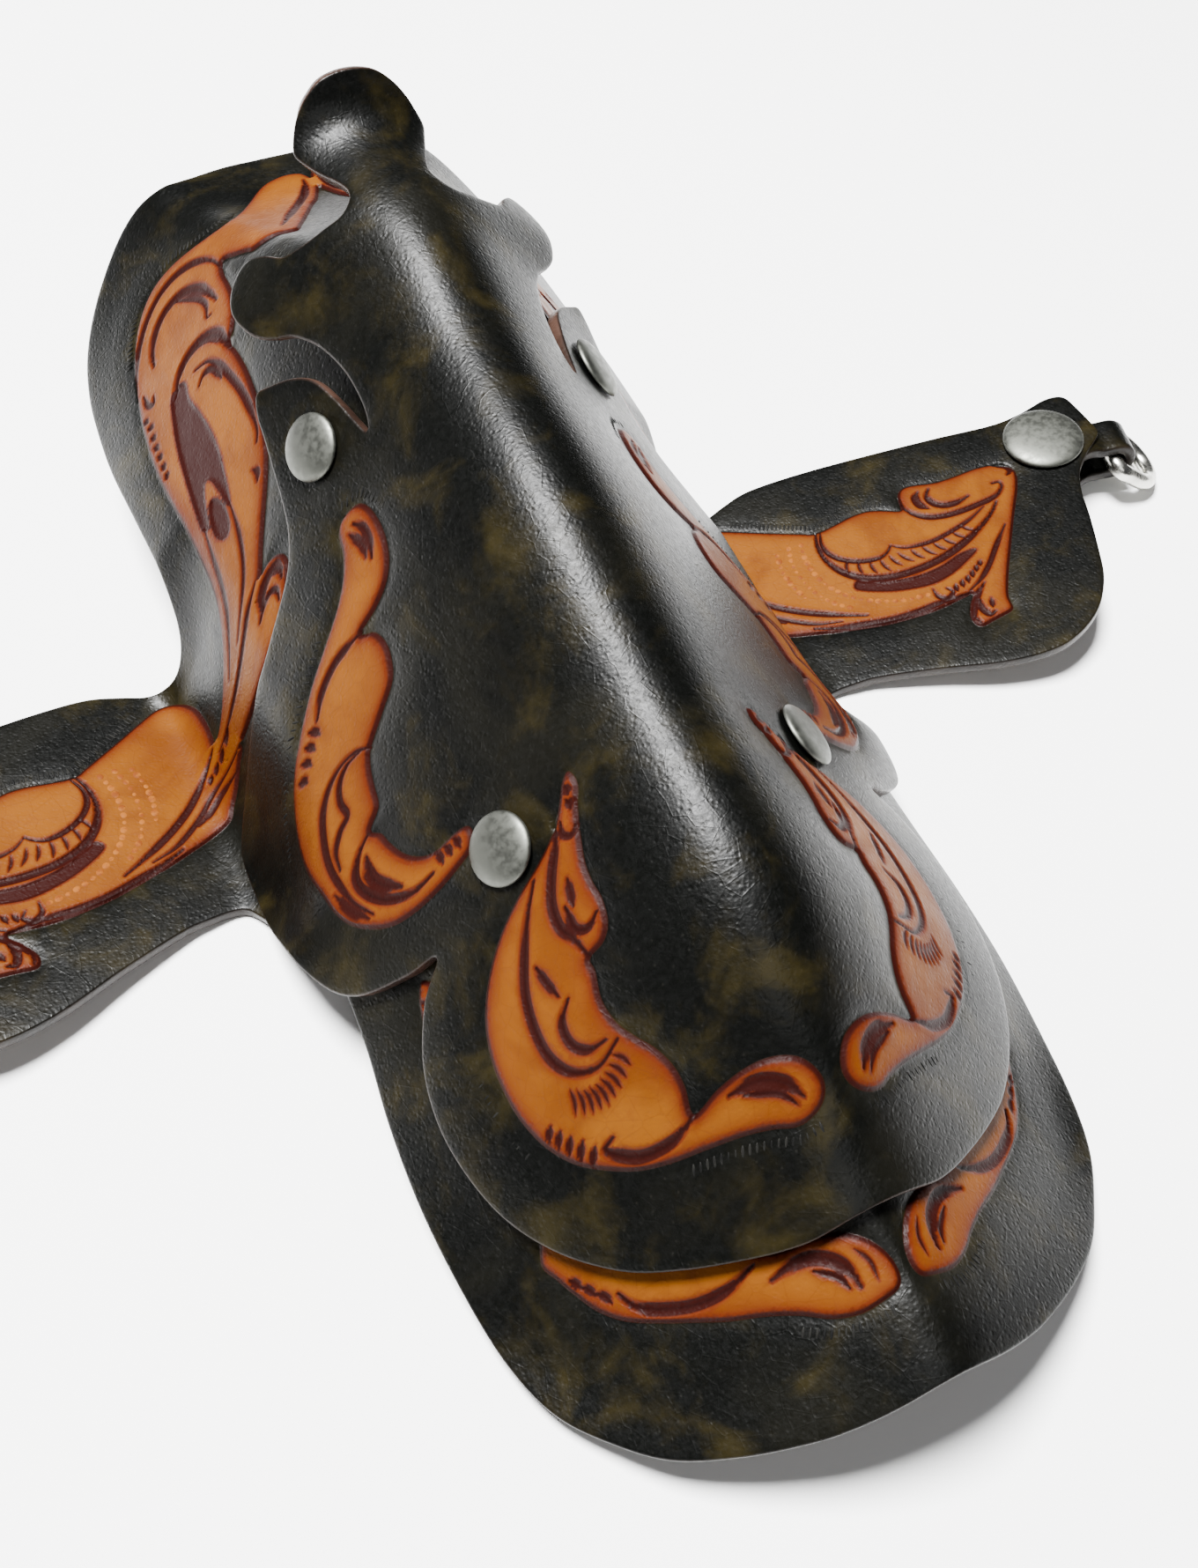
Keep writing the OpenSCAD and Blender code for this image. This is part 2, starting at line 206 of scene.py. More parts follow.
# Base leather, right half, from the rear, round the wing, to the front.
BASE_EDGE = [(6, -112.3), (13, -111.4), (18, -110), (24.5, -107.4), (31.2, -103.6), (36.2, -98.6),
             (41, -92), (43.8, -84), (45.4, -74), (46.3, -62), (46, -50), (44.8, -38), (44.6, -26),
             (46.6, -16), (49.2, -9), (51.2, -5.2), (53.4, -4.4), (57, -4.7), (61, -5.4), (71, -9),
             (81, -13.2), (89, -15.1), (95, -14.7), (101.5, -11.7), (106.6, -6.4), (110, 0), (113.2, 7),
             (115.2, 12), (117.8, 16.4), (121.4, 19.6), (126.2, 22.6), (127, 24.4), (127, 33),
             (126, 34.8), (123, 35.5), (117, 34.8), (111, 35), (100, 37.6), (86, 40.6), (73, 43),
             (63, 44), (57, 42.9), (52, 41.4), (48, 41.4), (45.9, 42.8), (45, 45.6), (45, 52), (45.4, 64), (45.7, 76),
             (45.2, 86), (44.2, 94), (42, 100.6), (38, 105.6), (32, 109.4), (27, 110.8), (22, 110.6),
             (17, 111), (10, 112.2), (4, 112.3)]


def both_sides(half):
    return [(x, y) for x, y in half] + [(-x, y) for x, y in reversed(half)]


# ---------------------------------------------------------------- tooling, right half
# Tan panels.
FRONT_SCROLL = [(28.5, 94.6), (31.3, 93.9), (33.8, 91.8), (35.6, 88.8), (37, 85), (38.2, 80), (39.1, 75),
                (39.7, 70), (40, 65), (40, 60), (39.8, 55), (39.5, 50), (39.3, 45), (39.3, 40), (39.8, 36),
                (41, 32), (43, 28.5), (45, 26), (46.8, 24.6), (48.5, 22), (49.5, 20), (46, 19.4),
                (42, 20), (38, 23.6), (35.2, 27.4), (33, 30.6), (31.5, 33.5), (29.5, 37), (27.5, 40.5),
                (26, 44), (25, 48), (24.5, 52), (24, 58), (24, 63), (24.2, 66), (23, 67.3), (21.6, 70),
                (20.9, 73), (20.6, 76), (20.4, 79.5), (19.5, 82), (18, 80.2), (16.5, 78.2), (15.5, 76.8),
                (11, 76.4), (8, 76.4), (6.5, 79), (5, 82), (3, 86), (1, 90), (-0.5, 92.5), (-2, 96.5),
                (-3, 99.5), (-3, 102), (-2, 104.5), (-0.5, 105.3), (1.5, 105.4), (4, 104.6), (6, 103.3),
                (8, 101), (10, 98), (12, 95), (13.5, 93), (15, 91.3), (17, 90.4), (19.5, 91), (22, 92.2),
                (25, 93.7)]
ROOT_CURL = [(34.6, 29.4), (32, 30.3), (30.3, 29.4), (29.6, 27.4), (30.3, 25), (31.6, 22.4), (33, 20.6),
             (35.5, 19.6), (38, 18.8), (42, 18.9), (45, 19.5), (46.5, 22), (45, 25), (42, 27), (38, 27)]
WING_PANEL = [(43.4, 18.9), (46, 21), (46.7, 23.6), (46.4, 26), (46.4, 30), (47, 34), (48.5, 37),
              (50.5, 38.5), (53, 38.3), (56, 36.5), (60, 33.8), (64, 31.2), (66.5, 29.6), (68.5, 28.4),
              (72, 28.4), (76, 28.7), (79, 28.4), (81, 27.6), (83, 26.3), (84.7, 25.3), (85.3, 26.2),
              (85.9, 28), (87, 29.4), (88.6, 29.8), (90.5, 29.3), (94, 28), (98, 27.5), (102, 27.2),
              (105, 26.4), (107.3, 25), (108, 23.6), (107.5, 21.5), (105.5, 18.5), (103, 15.5),
              (100, 11.8), (97, 8), (94, 4.2), (91.5, 0.8), (90, -1.6), (89.3, -4), (88.3, -4.6),
              (85, -4.8), (82.4, -4.9), (81.6, -3.6), (82, -1.8), (83.3, 0.2), (84.9, 2), (83, 2.1),
              (80, 2), (76, 2.2), (72, 3), (68, 4), (64, 5.2), (60, 6.6), (56, 8.3), (52, 10),
              (48.6, 11.4), (47.4, 13.2), (46, 15), (44.5, 17.2)]
SEAT_SCROLL = [(19.8, 19.8), (21.2, 19.6), (21.9, 18.4), (22.3, 16), (23.6, 13.2), (25.6, 11), (28.5, 9),
               (31.5, 7), (34.5, 4.2), (37, 1.2), (38.8, -2), (40, -6), (40.6, -10), (40.8, -14),
               (40.6, -18), (40.3, -21.5), (39.2, -25), (37.2, -28), (34.6, -30.3), (31.5, -31.4),
               (28.5, -31.7), (25.5, -31.5), (23.4, -31), (22.6, -29.6), (22.9, -28.2), (24.5, -27.6),
               (27, -27.3), (28.7, -26.2), (30.2, -24), (31.2, -21), (31.6, -19), (32.5, -17.2),
               (30.6, -15.6), (30.1, -13), (29.6, -10.5), (28.6, -8.4), (26, -6.4), (23.4, -4.4),
               (22.5, -2), (22.3, 0.5), (22.9, 3), (24.2, 4.8), (21.5, 5.4), (19.5, 6.5), (18.2, 8.4),
               (17.5, 11), (17.3, 14), (17.6, 17), (18.4, 19)]
CRESCENT = [(11.2, -33.3), (12.2, -33.9), (13.3, -35.6), (15, -37.8), (18, -39.6), (21.5, -41),
            (25, -43.2), (28, -46.4), (30, -50), (31, -54), (31.2, -58), (30.8, -62), (29.6, -66),
            (27.6, -69.5), (25, -72.2), (21.5, -74.8), (18, -76.4), (14, -77.6), (10, -78.8), (7, -80),
            (4.8, -81.1), (2.8, -81), (1.5, -80), (1.0, -78.4), (1.5, -76.6), (2.8, -75), (5.2, -73.8),
            (8, -73.3), (11, -73.4), (14, -73.9), (13.9, -71), (14.2, -68.6), (15.2, -66),
            (16.6, -63.6), (17.8, -61), (18.2, -58), (17.6, -55), (17.5, -53.4), (15.6, -53),
            (14.4, -51.6), (13.9, -49), (14, -46.5), (13.8, -44), (13, -41), (12, -38), (10.9, -35.4)]
SKIRT_SCROLL = [(35.8, -76), (34.8, -79), (33.6, -81.6), (32, -84.6), (29.6, -87.4), (26.4, -89.8),
                (23, -92), (19.5, -94.2), (15.6, -96.2), (12.4, -98.2), (9.6, -100.4), (6.6, -101.7),
                (3.4, -101.8), (1.6, -101.4), (0.9, -100), (1.2, -97.8), (2.6, -95.4), (5, -93.2),
                (8, -91.9), (11, -91.2), (13.4, -90), (18, -86), (24, -82), (29, -77), (33, -72)]
FLANK_LEAF = [(35.8, -37.8), (34.6, -39.6), (34.4, -41.6), (36, -43.6), (37.4, -47.4), (37.6, -43), (36.9, -39.6)]
SEAT_PANELS = [SEAT_SCROLL, CRESCENT]
BASE_PANELS = [FRONT_SCROLL, ROOT_CURL, WING_PANEL, SKIRT_SCROLL, FLANK_LEAF]
# Dark leaves and beds: outline, strength.
BASE_FILLS = [
    ([(33.4, 71.5), (34.8, 67), (35.8, 62), (36.4, 57), (36.9, 52), (37.2, 47), (36.6, 45.5), (36, 48.5),
      (35.2, 51), (34.4, 52.4), (33.6, 51), (33.2, 48), (32.9, 44), (32.3, 47), (31.5, 52), (31.2, 57),
      (31.4, 62), (31.8, 67), (31.4, 70.5)], 1.0),
    ([(34.9, 48.3), (33.9, 46.5), (33.7, 43.5), (34.2, 41.2), (35.2, 41), (36, 43), (35.8, 46)], 0.9),
    ([(68, 13.2), (71, 10.8), (75, 8.8), (80, 7.4), (84, 7.6), (88, 8.8), (91, 10.2), (88, 10.6),
      (84, 9.9), (80, 9.9), (76, 10.8), (72, 12.6), (69.6, 14.6)], 0.85)]
SEAT_FILLS = []
# Cuts: points, width, strength.
BASE_CUTS = [
    ([(38, 80.6), (36.6, 84.6), (34.6, 88), (32, 90.4), (29, 91.4), (26, 90.8), (23.4, 89), (21.6, 86.6),
      (20.5, 84), (20.2, 81)], 1.15, 1),
    ([(33.8, 81), (33.2, 83.8), (31.6, 86.2), (29.4, 87.2), (27, 86.6), (25.2, 84.8), (23.9, 82.2), (23.1, 79),
      (22.7, 75.6)], 1.5, .95),
    ([(27.4, 86.2), (25.6, 83), (24.5, 80), (24.2, 77.4), (24.9, 75), (24.2, 74.4)], 0.7, .9),
    ([(36.9, 79.2), (36.9, 76.6), (36.1, 75.4), (35.6, 76.6)], 0.7, .9),
    ([(33.4, 70.6), (31.8, 72.8), (29.6, 73.8), (27.2, 73), (25.5, 71), (24.6, 68.2), (24.4, 65)], 1.7, 1),
    ([(29.4, 69.6), (27.6, 68), (26.5, 65), (26, 61), (25.6, 56), (25.7, 51), (26.1, 47.6), (26.8, 46)], .9, .95),
    ([(29.9, 66.2), (28.7, 66.9), (27.4, 65.6), (26.9, 62)], .8, 1),
    ([(37.1, 46.5), (37.5, 42), (37.9, 37), (38.6, 33), (40, 29.6), (41.4, 27)], .6, .8),
    ([(32.8, 44.4), (33.4, 38.6), (34.6, 34), (36.4, 30.6), (38.8, 27.6)], .6, .8),
    ([(28.6, 43.6), (28.2, 42.4), (28.8, 41.2)], .8, .8),
    ([(46, 22.6), (43.2, 23.8), (40.4, 24.8), (38, 26.4), (35.8, 28.6), (33.8, 30.2)], .8, .9),
    ([(34.9, 25.4), (34.1, 27.2), (32.8, 28.3), (31.5, 28.4), (30.8, 27.2), (31, 25.8)], 1.5, 1),
    ([(35.6, 24.4), (34.2, 25.8), (32.8, 26.1), (32.1, 25.2), (32.3, 23.8)], .7, 1),
    ([(46.8, 24.4), (49, 22), (51.5, 19), (54, 16.2), (57, 13.4), (60, 11.1), (63, 9.1), (66.6, 6.9)], 1.1, .9),
    ([(43.4, 18.9), (47, 18.5), (49.6, 17.2), (52, 14.8), (55, 12), (58, 9.7), (62, 8)], .8, .85),
    ([(44.8, 17), (48, 16.4), (50.5, 14.6), (53.4, 12.6)], 1.1, .75),
    # wing flower
    ([(68.6, 28.4), (67.3, 25.6), (66.8, 22.6), (67.2, 19.5), (68.6, 16.6), (71, 14.2), (74.5, 12.5),
      (78, 11.7), (82, 11.4), (86, 11.7), (90, 12.6), (94, 14), (98, 16), (100.6, 18)], 1.4, 1),
    ([(69.2, 27.8), (68, 25.2), (68, 22.6), (69.2, 20.4), (71, 18.8), (73.2, 17.7), (75.6, 17.2), (77.4, 17.8),
      (78.5, 18.7)], .85, 1),
    ([(78.5, 18.7), (80.4, 17), (83, 16.2), (86, 15.8), (90, 16.1), (94, 16.8), (98, 18.2)], .8, .8),
    ([(57, 9.1), (61, 7.1), (65, 5.6), (70, 4), (75, 3.2), (79, 3), (84.6, 2.4)], 1.2, 1),
    ([(79.4, 6), (79.4, 4.2), (80.8, 3.2), (82.2, 4), (81.6, 5.2)], .8, .9),
    ([(85, 2.8), (88, 4), (91, 6), (94, 8.6), (96.6, 10.8), (98.8, 12.6)], .85, .95),
    ([(85.9, 28), (85.5, 25.5), (86.1, 23.2), (87.7, 21.3), (90, 20.1), (93, 19.4), (97, 19.1), (101, 19.2),
      (103.3, 20.4), (103.8, 21.8), (102.4, 22.2)], 1.1, .95),
    ([(91.8, 27), (90.5, 25.6), (90.6, 23.6), (92, 22.1), (94.4, 21.5), (97, 21.8)], 1.2, 1),
    ([(89.8, 27.4), (88.6, 26.4), (88.3, 24.6), (89.2, 22.8)], 1.5, .8),
    ([(104.8, 26.3), (106.8, 24.9), (107.2, 23.4), (106, 22.6)], 1.4, .85),
    ([(82.6, -4.2), (82.4, -2.4), (83.6, -.6), (85.6, 1.4), (88, 3)], 1.2, .85),
    ([(85.2, .2), (84.4, -1.6), (84.9, -3.4), (86.2, -3.4)], 1.2, 1), ([(87, -.6), (86.2, -2.4)], .8, .9),
    # rear skirt
    ([(29, -84.4), (27.8, -86.8), (25, -89), (21.6, -90.7), (18, -91.3), (14.6, -90.7)], 1.3, 1),
    ([(13.6, -93.2), (9.8, -93.4), (7.2, -95), (5.8, -97.2), (5.4, -99.4)], 1.5, .9),
    ([(9.2, -95), (7.2, -97), (6.5, -98.8)], .6, 1), ([(4.4, -95.4), (3.4, -97.4), (3.4, -99.6)], .5, .7),
    ([(36.6, -40), (35.7, -42), (36.4, -43)], .8, .9),
    ([(-1.2, 102), (-.6, 98.6), (1, 95), (3, 91.4), (5, 88), (7, 84.6), (9.4, 80)], 1.5, .8),
    ([(-.4, 99.6), (1.6, 94.4), (3.6, 90.4)], .6, 1)]
SEAT_CUTS = [
    ([(32.6, 2), (30.8, 4.2), (28.2, 5.3), (25.6, 5.1), (24, 4.8)], 1.1, 1),
    ([(28.4, -8.6), (30.2, -7), (32.4, -6.5), (34.6, -7.2), (36.3, -9), (37.4, -12), (38.1, -15.4), (38.2, -19),
      (37.6, -23), (36, -27)], .8, .9),
    ([(29.4, -7.7), (31.6, -7.3), (33.3, -8.3), (34.1, -10.4), (34, -12.8), (35.5, -13.6), (36.9, -15.4),
      (37.3, -18)], .7, 1),
    ([(32.6, -17.3), (34.8, -18.7), (36.2, -21), (35.7, -24), (33.9, -27), (31, -29.2), (28, -29.5)], 1.1, 1),
    ([(34, -19.8), (34.5, -22.6), (33.5, -25.2), (31.8, -27.4)], 1.5, .9),
    ([(39.2, -20), (38.2, -24), (36.6, -27)], 1.2, .7),
    ([(19.7, 17.4), (18.9, 15.4), (18.9, 13), (19.5, 10.8)], .8, 1), ([(20.6, 16.8), (19.8, 14), (20, 11.6)], 1, .8),
    ([(14.6, -36.6), (15.4, -39.4), (17, -42), (18.4, -45), (18.7, -48), (17.9, -50.6), (17.4, -53.2)], 1.1, 1),
    ([(19, -41), (21.2, -44), (23.2, -47.5), (24.7, -51), (25.4, -55), (25.2, -59), (23.7, -62), (21, -63.5),
      (18.2, -62.6)], 1, 1),
    ([(21, -55.3), (22.6, -57), (22.6, -59.6), (21.2, -61.4), (19.2, -61.8)], .9, 1),
    ([(22.6, -49.6), (22.3, -52), (21.8, -54.2)], .8, 1),
    ([(14.8, -49.8), (16.2, -50.6), (17.4, -49.4), (17.3, -46.6)], .9, 1), ([(15.9, -44), (16.6, -47.4)], .9, .8),
    ([(13.9, -74), (17, -74.7), (20.2, -74), (22.4, -72.4), (23.6, -70.9), (22.4, -70.4)], 1.2, 1),
    ([(10, -74.5), (6.8, -75.1), (4.5, -76.7), (3.2, -78.8)], 1.4, .9),
    ([(8.6, -75.4), (5.4, -77.2), (3.9, -79.2)], .6, 1),
    ([(14, -37.8), (14.4, -39.2), (13.6, -40.2), (12.8, -39.4)], .7, .9)]
# Short stamped commas: place, direction in degrees, length.
BASE_COMMAS = [(38.2, 74.6, 60, 1.5), (37.9, 72.4, 60, 1.5), (38.2, 70.2, 70, 1.5), (38.4, 68, 70, 1.5),
               (38.5, 65.8, 75, 1.4), (38.6, 63.6, 80, 1.3), (38.7, 61.6, 85, 1.1),
               (44.3, 22.7, -60, 1.8), (45.9, 21.6, -60, 1.8), (47.3, 20.8, -60, 1.7), (48.7, 20, -60, 1.5),
               (83.2, 4.4, 70, 1.5), (84.7, 4.7, 65, 1.5), (86.1, 5.1, 60, 1.5), (87.4, 5.7, 60, 1.5),
               (88.7, 6.4, 55, 1.4), (89.9, 7.1, 55, 1.2),
               (30.6, -83.9, 60, 2.2), (31.9, -82.2, 60, 2), (33, -80.6, 60, 1.8)]
BASE_COMMAS += [(x, y, a, 3.0 + 0.3 * (i % 2)) for i, (x, y, a) in enumerate(
    [(69.4, 18.4, 60), (71.2, 16.9, 75), (73.2, 15.8, 85), (75.3, 15.2, 95), (77.4, 15.2, 105), (79.4, 15, 115),
     (81.6, 14.5, 110), (83.8, 14.2, 112), (86, 14, 115), (88.2, 14.2, 118), (90.4, 14.6, 120), (92.6, 15.2, 125)])]
SEAT_COMMAS = [(36.9, -2.6, 60, 1.6), (35.8, -1.2, 60, 1.8), (34.7, 0, 60, 2), (33.5, 1, 60, 2.2),
               (24.9, -70.7, -60, 1.8), (25.9, -69.4, -60, 1.8), (26.8, -68.1, -60, 1.6), (27.6, -66.8, -60, 1.5),
               (28.3, -65.6, -60, 1.3), (26.8, -28.6, 80, 2), (25.6, -28.8, 80, 1.8), (24.4, -29, 80, 1.5),
               (12.1, -35.2, 90, 1.3), (12.5, -36.8, 90, 1.2)]
SEAT_COMMAS += [(24.8 - .78 * i, -64.6 - .09 * i * (8 - i), 100 - 5 * i, 2.5) for i in range(9)]


def comma(x, y, a, length):
    c, s = math.cos(math.radians(a)), math.sin(math.radians(a))
    h = length / 2
    return [(x - h * c, y - h * s), (x - .15 * h * s, y + .15 * h * c), (x + h * c, y + h * s)]


def spread_spike(p):
    """On the right the front spike stands clear of the centre line."""
    return [(x + max(0, 14 - x) * 0.34 if y > 75 else x, y) for x, y in p]


def tooling(panels, fills, cuts, commas):
    """Both sides' panels, fills and cuts as smooth lines."""
    out = {"panels": [], "fills": [], "cuts": []}
    cuts = [(p, w, k) for p, w, k in cuts] + \
        [(comma(*c), .8 if c[3] < 2.4 else .5, .9 if c[3] < 2.4 else .7) for c in commas]
    for side in (-1, 1):
        fix = spread_spike if side > 0 else (lambda p: p)

        def turned(p):
            return [(side * x, y) for x, y in fix(p)]
        out["panels"] += [smooth_line(turned(p), .3, True) for p in panels]
        out["fills"] += [(smooth_line(turned(p), .3, True), k) for p, k in fills]
        out["cuts"] += [(smooth_line(turned(p), .3), w, k) for p, w, k in cuts]
    return out


def relief(work, p):
    """Height of the tooling (mm) and its colours at plan points: tan, antique, dark."""
    n = len(p)
    tan, anti, deep, h = np.zeros(n), np.zeros(n), np.zeros(n), np.zeros(n)
    for poly in work["panels"]:
        tan[inside(poly, p)] = 1
    rim = np.full(n, 9.0)
    for poly in work["panels"]:
        k, d, _ = near_line(np.vstack([poly, poly[:1]]), p, 3.5)
        # an outline inside another panel isn't an edge
        for q in work["panels"]:
            if q is not poly:
                c = poly[inside(q, poly)]
                if len(c):
                    gap = np.abs(p[k][:, None] - c[None, ::3])
                    near = gap[:, :, 0] + gap[:, :, 1]
                    d = np.where(near.min(1) < d + .5, 9.0, d)
        rim[k] = np.minimum(rim[k], d)
    t = tan > .5
    h += np.where(t, .16 * (1 - np.exp(-rim / .9)) - .42 * np.exp(-(rim / .30) ** 2),
                  -.40 * np.exp(-rim / 1.5) * (rim < 8))
    anti = np.maximum(anti, np.where(t, .95 * np.exp(-(rim / .42) ** 2) + .46 * np.exp(-rim / 1.5), 0))
    deep = np.maximum(deep, np.where(t, .55 * np.exp(-(rim / .25) ** 2), np.exp(-rim / 1.2)))
    for poly, k0 in work["fills"]:
        m = inside(poly, p)
        k, d, _ = near_line(np.vstack([poly, poly[:1]]), p, 1.0)
        h[m] -= .22
        anti[m] = np.maximum(anti[m], k0)
        anti[k] = np.maximum(anti[k], k0 * np.exp(-(d / .35) ** 2))
    for line, w, k0 in work["cuts"]:
        k, d, s = near_line(line, p, w * .6 + 2.2)
        if not len(k):
            continue
        body = np.clip(1 - np.abs(2 * s - 1) ** 6 * .75, .25, 1) * np.clip(.35 + 2.2 * np.minimum(s, 1 - s), .35, 1)
        hw = .5 * w * body
        core = 1 / (1 + np.exp((d - hw) / .07))
        h[k] -= core * (.16 + .13 * w) * k0
        h[k] += .05 * np.exp(-((d - hw - .35) / .3) ** 2)
        anti[k] = np.maximum(anti[k], k0 * core + .34 * k0 * np.exp(-np.maximum(d - hw, 0) / .55))
        deep[k] = np.maximum(deep[k], k0 * .62 * np.exp(-(d / (.22 + .2 * w)) ** 2))
    return h, tan, np.clip(anti, 0, 1), np.clip(deep, 0, 1)


# ---------------------------------------------------------------- leather sheets
def mesh_piece(name, verts_mm, faces, marks=None, normals=None):
    me = bpy.data.meshes.new(name)
    me.from_pydata((np.asarray(verts_mm) * MM).tolist(), [], faces)
    for key, values in (marks or {}).items():
        at = me.attributes.new(key, "FLOAT", "POINT")
        at.data.foreach_set("value", np.asarray(values, np.float32))
    me.polygons.foreach_set("use_smooth", [True] * len(me.polygons))
    me.update()
    if normals is not None:
        me.normals_split_custom_set_from_vertices(np.asarray(normals).tolist())
    ob = bpy.data.objects.new(name, me)
    bpy.context.scene.collection.objects.link(ob)
    return ob


def thin_out(layers, cell=.17):
    seen, keep = set(), []
    for pts in layers:
        for x, y in np.round(pts, 4).tolist():
            key = (int(x // cell), int(y // cell))
            if key not in seen:
                seen.add(key)
                keep.append((x, y))
    return keep


def hex_grid(lo, hi, step):
    xs = np.arange(lo[0], hi[0], step)
    ys = np.arange(lo[1], hi[1], step * .866)
    gx, gy = np.meshgrid(xs, ys)
    gx[1::2] += step / 2
    return np.column_stack([gx.ravel(), gy.ravel()])


def inset(ring, d):
    t = np.roll(ring, -1, 0) - np.roll(ring, 1, 0)
    t /= np.maximum(np.linalg.norm(t, axis=1, keepdims=True), 1e-9)
    area = np.sum(ring[:, 0] * np.roll(ring[:, 1], -1) - np.roll(ring[:, 0], -1) * ring[:, 1])
    n = np.column_stack([-t[:, 1], t[:, 0]]) * (1 if area > 0 else -1)
    return ring + n * d


def leather_sheet(edge, work, face, plain_step=1.7, fine_step=.46, split=None):
    """Upper face, rounded cut edge and underside of one cut leather. Returns arrays."""
    ring = smooth_line(edge, .5, True)
    if np.sum(ring[:, 0] * np.roll(ring[:, 1], -1) - np.roll(ring[:, 0], -1) * ring[:, 1]) < 0:
        ring = ring[::-1]
    top_ring = inset(ring, .32)
    lo, hi = ring.min(0), ring.max(0)
    keep_in = inset(ring, .75)
    layers = []
    for poly in work["panels"]:
        layers += [inset(poly, .11), inset(poly, -.11), inset(poly, .42)]
    for poly, _ in work["fills"]:
        layers += [inset(poly, .1), inset(poly, -.1)]
    for line, w, _ in work["cuts"]:
        t = np.gradient(line, axis=0)
        t /= np.maximum(np.linalg.norm(t, axis=1, keepdims=True), 1e-9)
        nn = np.column_stack([-t[:, 1], t[:, 0]])
        layers += [line, line + nn * w * .42, line - nn * w * .42, line + nn * (w * .5 + .2), line - nn * (w * .5 + .2)]
    fine = hex_grid(lo, hi, fine_step)
    near = np.zeros(len(fine), bool)
    for poly in work["panels"]:
        near |= inside(inset(poly, -1.6), fine)
    mid = hex_grid(lo, hi, .95)
    around = np.zeros(len(mid), bool)
    for poly in work["panels"]:
        around |= inside(inset(poly, -4.5), mid)
    coarse = hex_grid(lo, hi, plain_step)
    rows = [inset(ring, .62), inset(ring, 1.3)]
    if split:
        y = np.arange(-8, 46, .5)
        layers = [np.column_stack([np.full(len(y), s * split), y]) for s in (-1, 1)] + layers
    pts = thin_out(layers + [rows[0]], .15)
    pts += thin_out([np.array(pts), fine[near]], .30)[len(thin_out([np.array(pts)], .30)):]
    got = {(int(x // .8), int(y // .8)) for x, y in pts}
    for x, y in mid[around].tolist() + rows[1].tolist():
        if (int(x // .8), int(y // .8)) not in got:
            pts.append((x, y))
            got.add((int(x // .8), int(y // .8)))
    got2 = {(int(x // 1.5), int(y // 1.5)) for x, y in pts}
    pts += [(x, y) for x, y in coarse.tolist() if (int(x // 1.5), int(y // 1.5)) not in got2]
    pts = np.array(pts)
    pts = pts[inside(keep_in, pts) | inside(inset(ring, .55), pts)]
    n0 = len(top_ring)
    cloud = [Vector(p) for p in top_ring.tolist()] + [Vector(p) for p in pts.tolist()]
    v2, _, f2, ov, _, _ = delaunay_2d_cdt(cloud, [], [list(range(n0))], 1, 1e-6)
    v2 = np.array([tuple(v) for v in v2])
    ring_id = {o: i for i, src in enumerate(ov) for o in src if o < n0}
    under_pts = np.array([p for p in hex_grid(lo, hi, 3.0).tolist()])
    under_pts = under_pts[inside(inset(ring, 1.6), under_pts)]
    if split:
        y = np.arange(-8, 46, 1.5)
        extra = np.vstack([np.column_stack([np.full(len(y), s * split), y]) for s in (-1, 1)])
        under_pts = np.vstack([under_pts, extra[inside(inset(ring, 1.0), extra)]])
    cloud = [Vector(p) for p in top_ring.tolist()] + [Vector(p) for p in under_pts.tolist()]
    w2, _, g2, ow, _, _ = delaunay_2d_cdt(cloud, [], [list(range(n0))], 1, 1e-6)
    w2 = np.array([tuple(v) for v in w2])
    under_id = {o: i for i, src in enumerate(ow) for o in src if o < n0}

    def place(xy, lift):
        x, y = xy[:, 0], xy[:, 1]
        return face(x, y) + np.asarray(lift)[:, None] * normals_of(face, x, y)

    h, tan, anti, deep = relief(work, v2)
    h -= .10 * np.exp(-np.min([np.full(len(v2), 9.0), edge_gap(v2, top_ring)], axis=0) / .5)
    verts = [place(v2, h)]
    plan = [v2]
    marks = {"tan": [tan], "antique": [anti], "deep": [deep],
             "cut_edge": [np.zeros(len(v2))], "flesh": [np.zeros(len(v2))]}
    faces = [tuple(f) for f in f2]
    count = len(v2)
    last = [ring_id[i] for i in range(n0)]
    steps = [(.12, -.14), (.02, -.42), (0, -.9), (0, -1.4), (.04, -1.85), (.16, -2.1)]
    for d, lift in steps:
        r = inset(ring, d)
        verts.append(place(r, np.full(n0, lift)))
        plan.append(r)
        for key, val in (("tan", 0), ("antique", 0), ("deep", 0),
                         ("cut_edge", 1 if d < .1 else .3), ("flesh", 1 if lift < -2 else 0)):
            marks[key].append(np.full(n0, float(val)))
        now = list(range(count, count + n0))
        faces += [(last[i], now[i], now[(i + 1) % n0], last[(i + 1) % n0]) for i in range(n0)]
        last = now
        count += n0
    verts.append(place(w2, np.full(len(w2), -THICK)))
    plan.append(w2)
    for key in marks:
        marks[key].append(np.full(len(w2), 1.0 if key == "flesh" else 0.0))
    faces += [tuple(count + i for i in reversed(f)) for f in g2]
    low = [count + under_id[i] for i in range(n0)]
    faces += [(last[i], low[i], low[(i + 1) % n0], last[(i + 1) % n0]) for i in range(n0)]
    marks = {k: np.concatenate(v) for k, v in marks.items()}
    return np.vstack(verts), faces, marks, np.vstack(plan)


def edge_gap(p, ring):
    out = np.full(len(p), 9.0)
    k, d, _ = near_line(np.vstack([ring, ring[:1]]), p, 2.0)
    out[k] = d
    return out


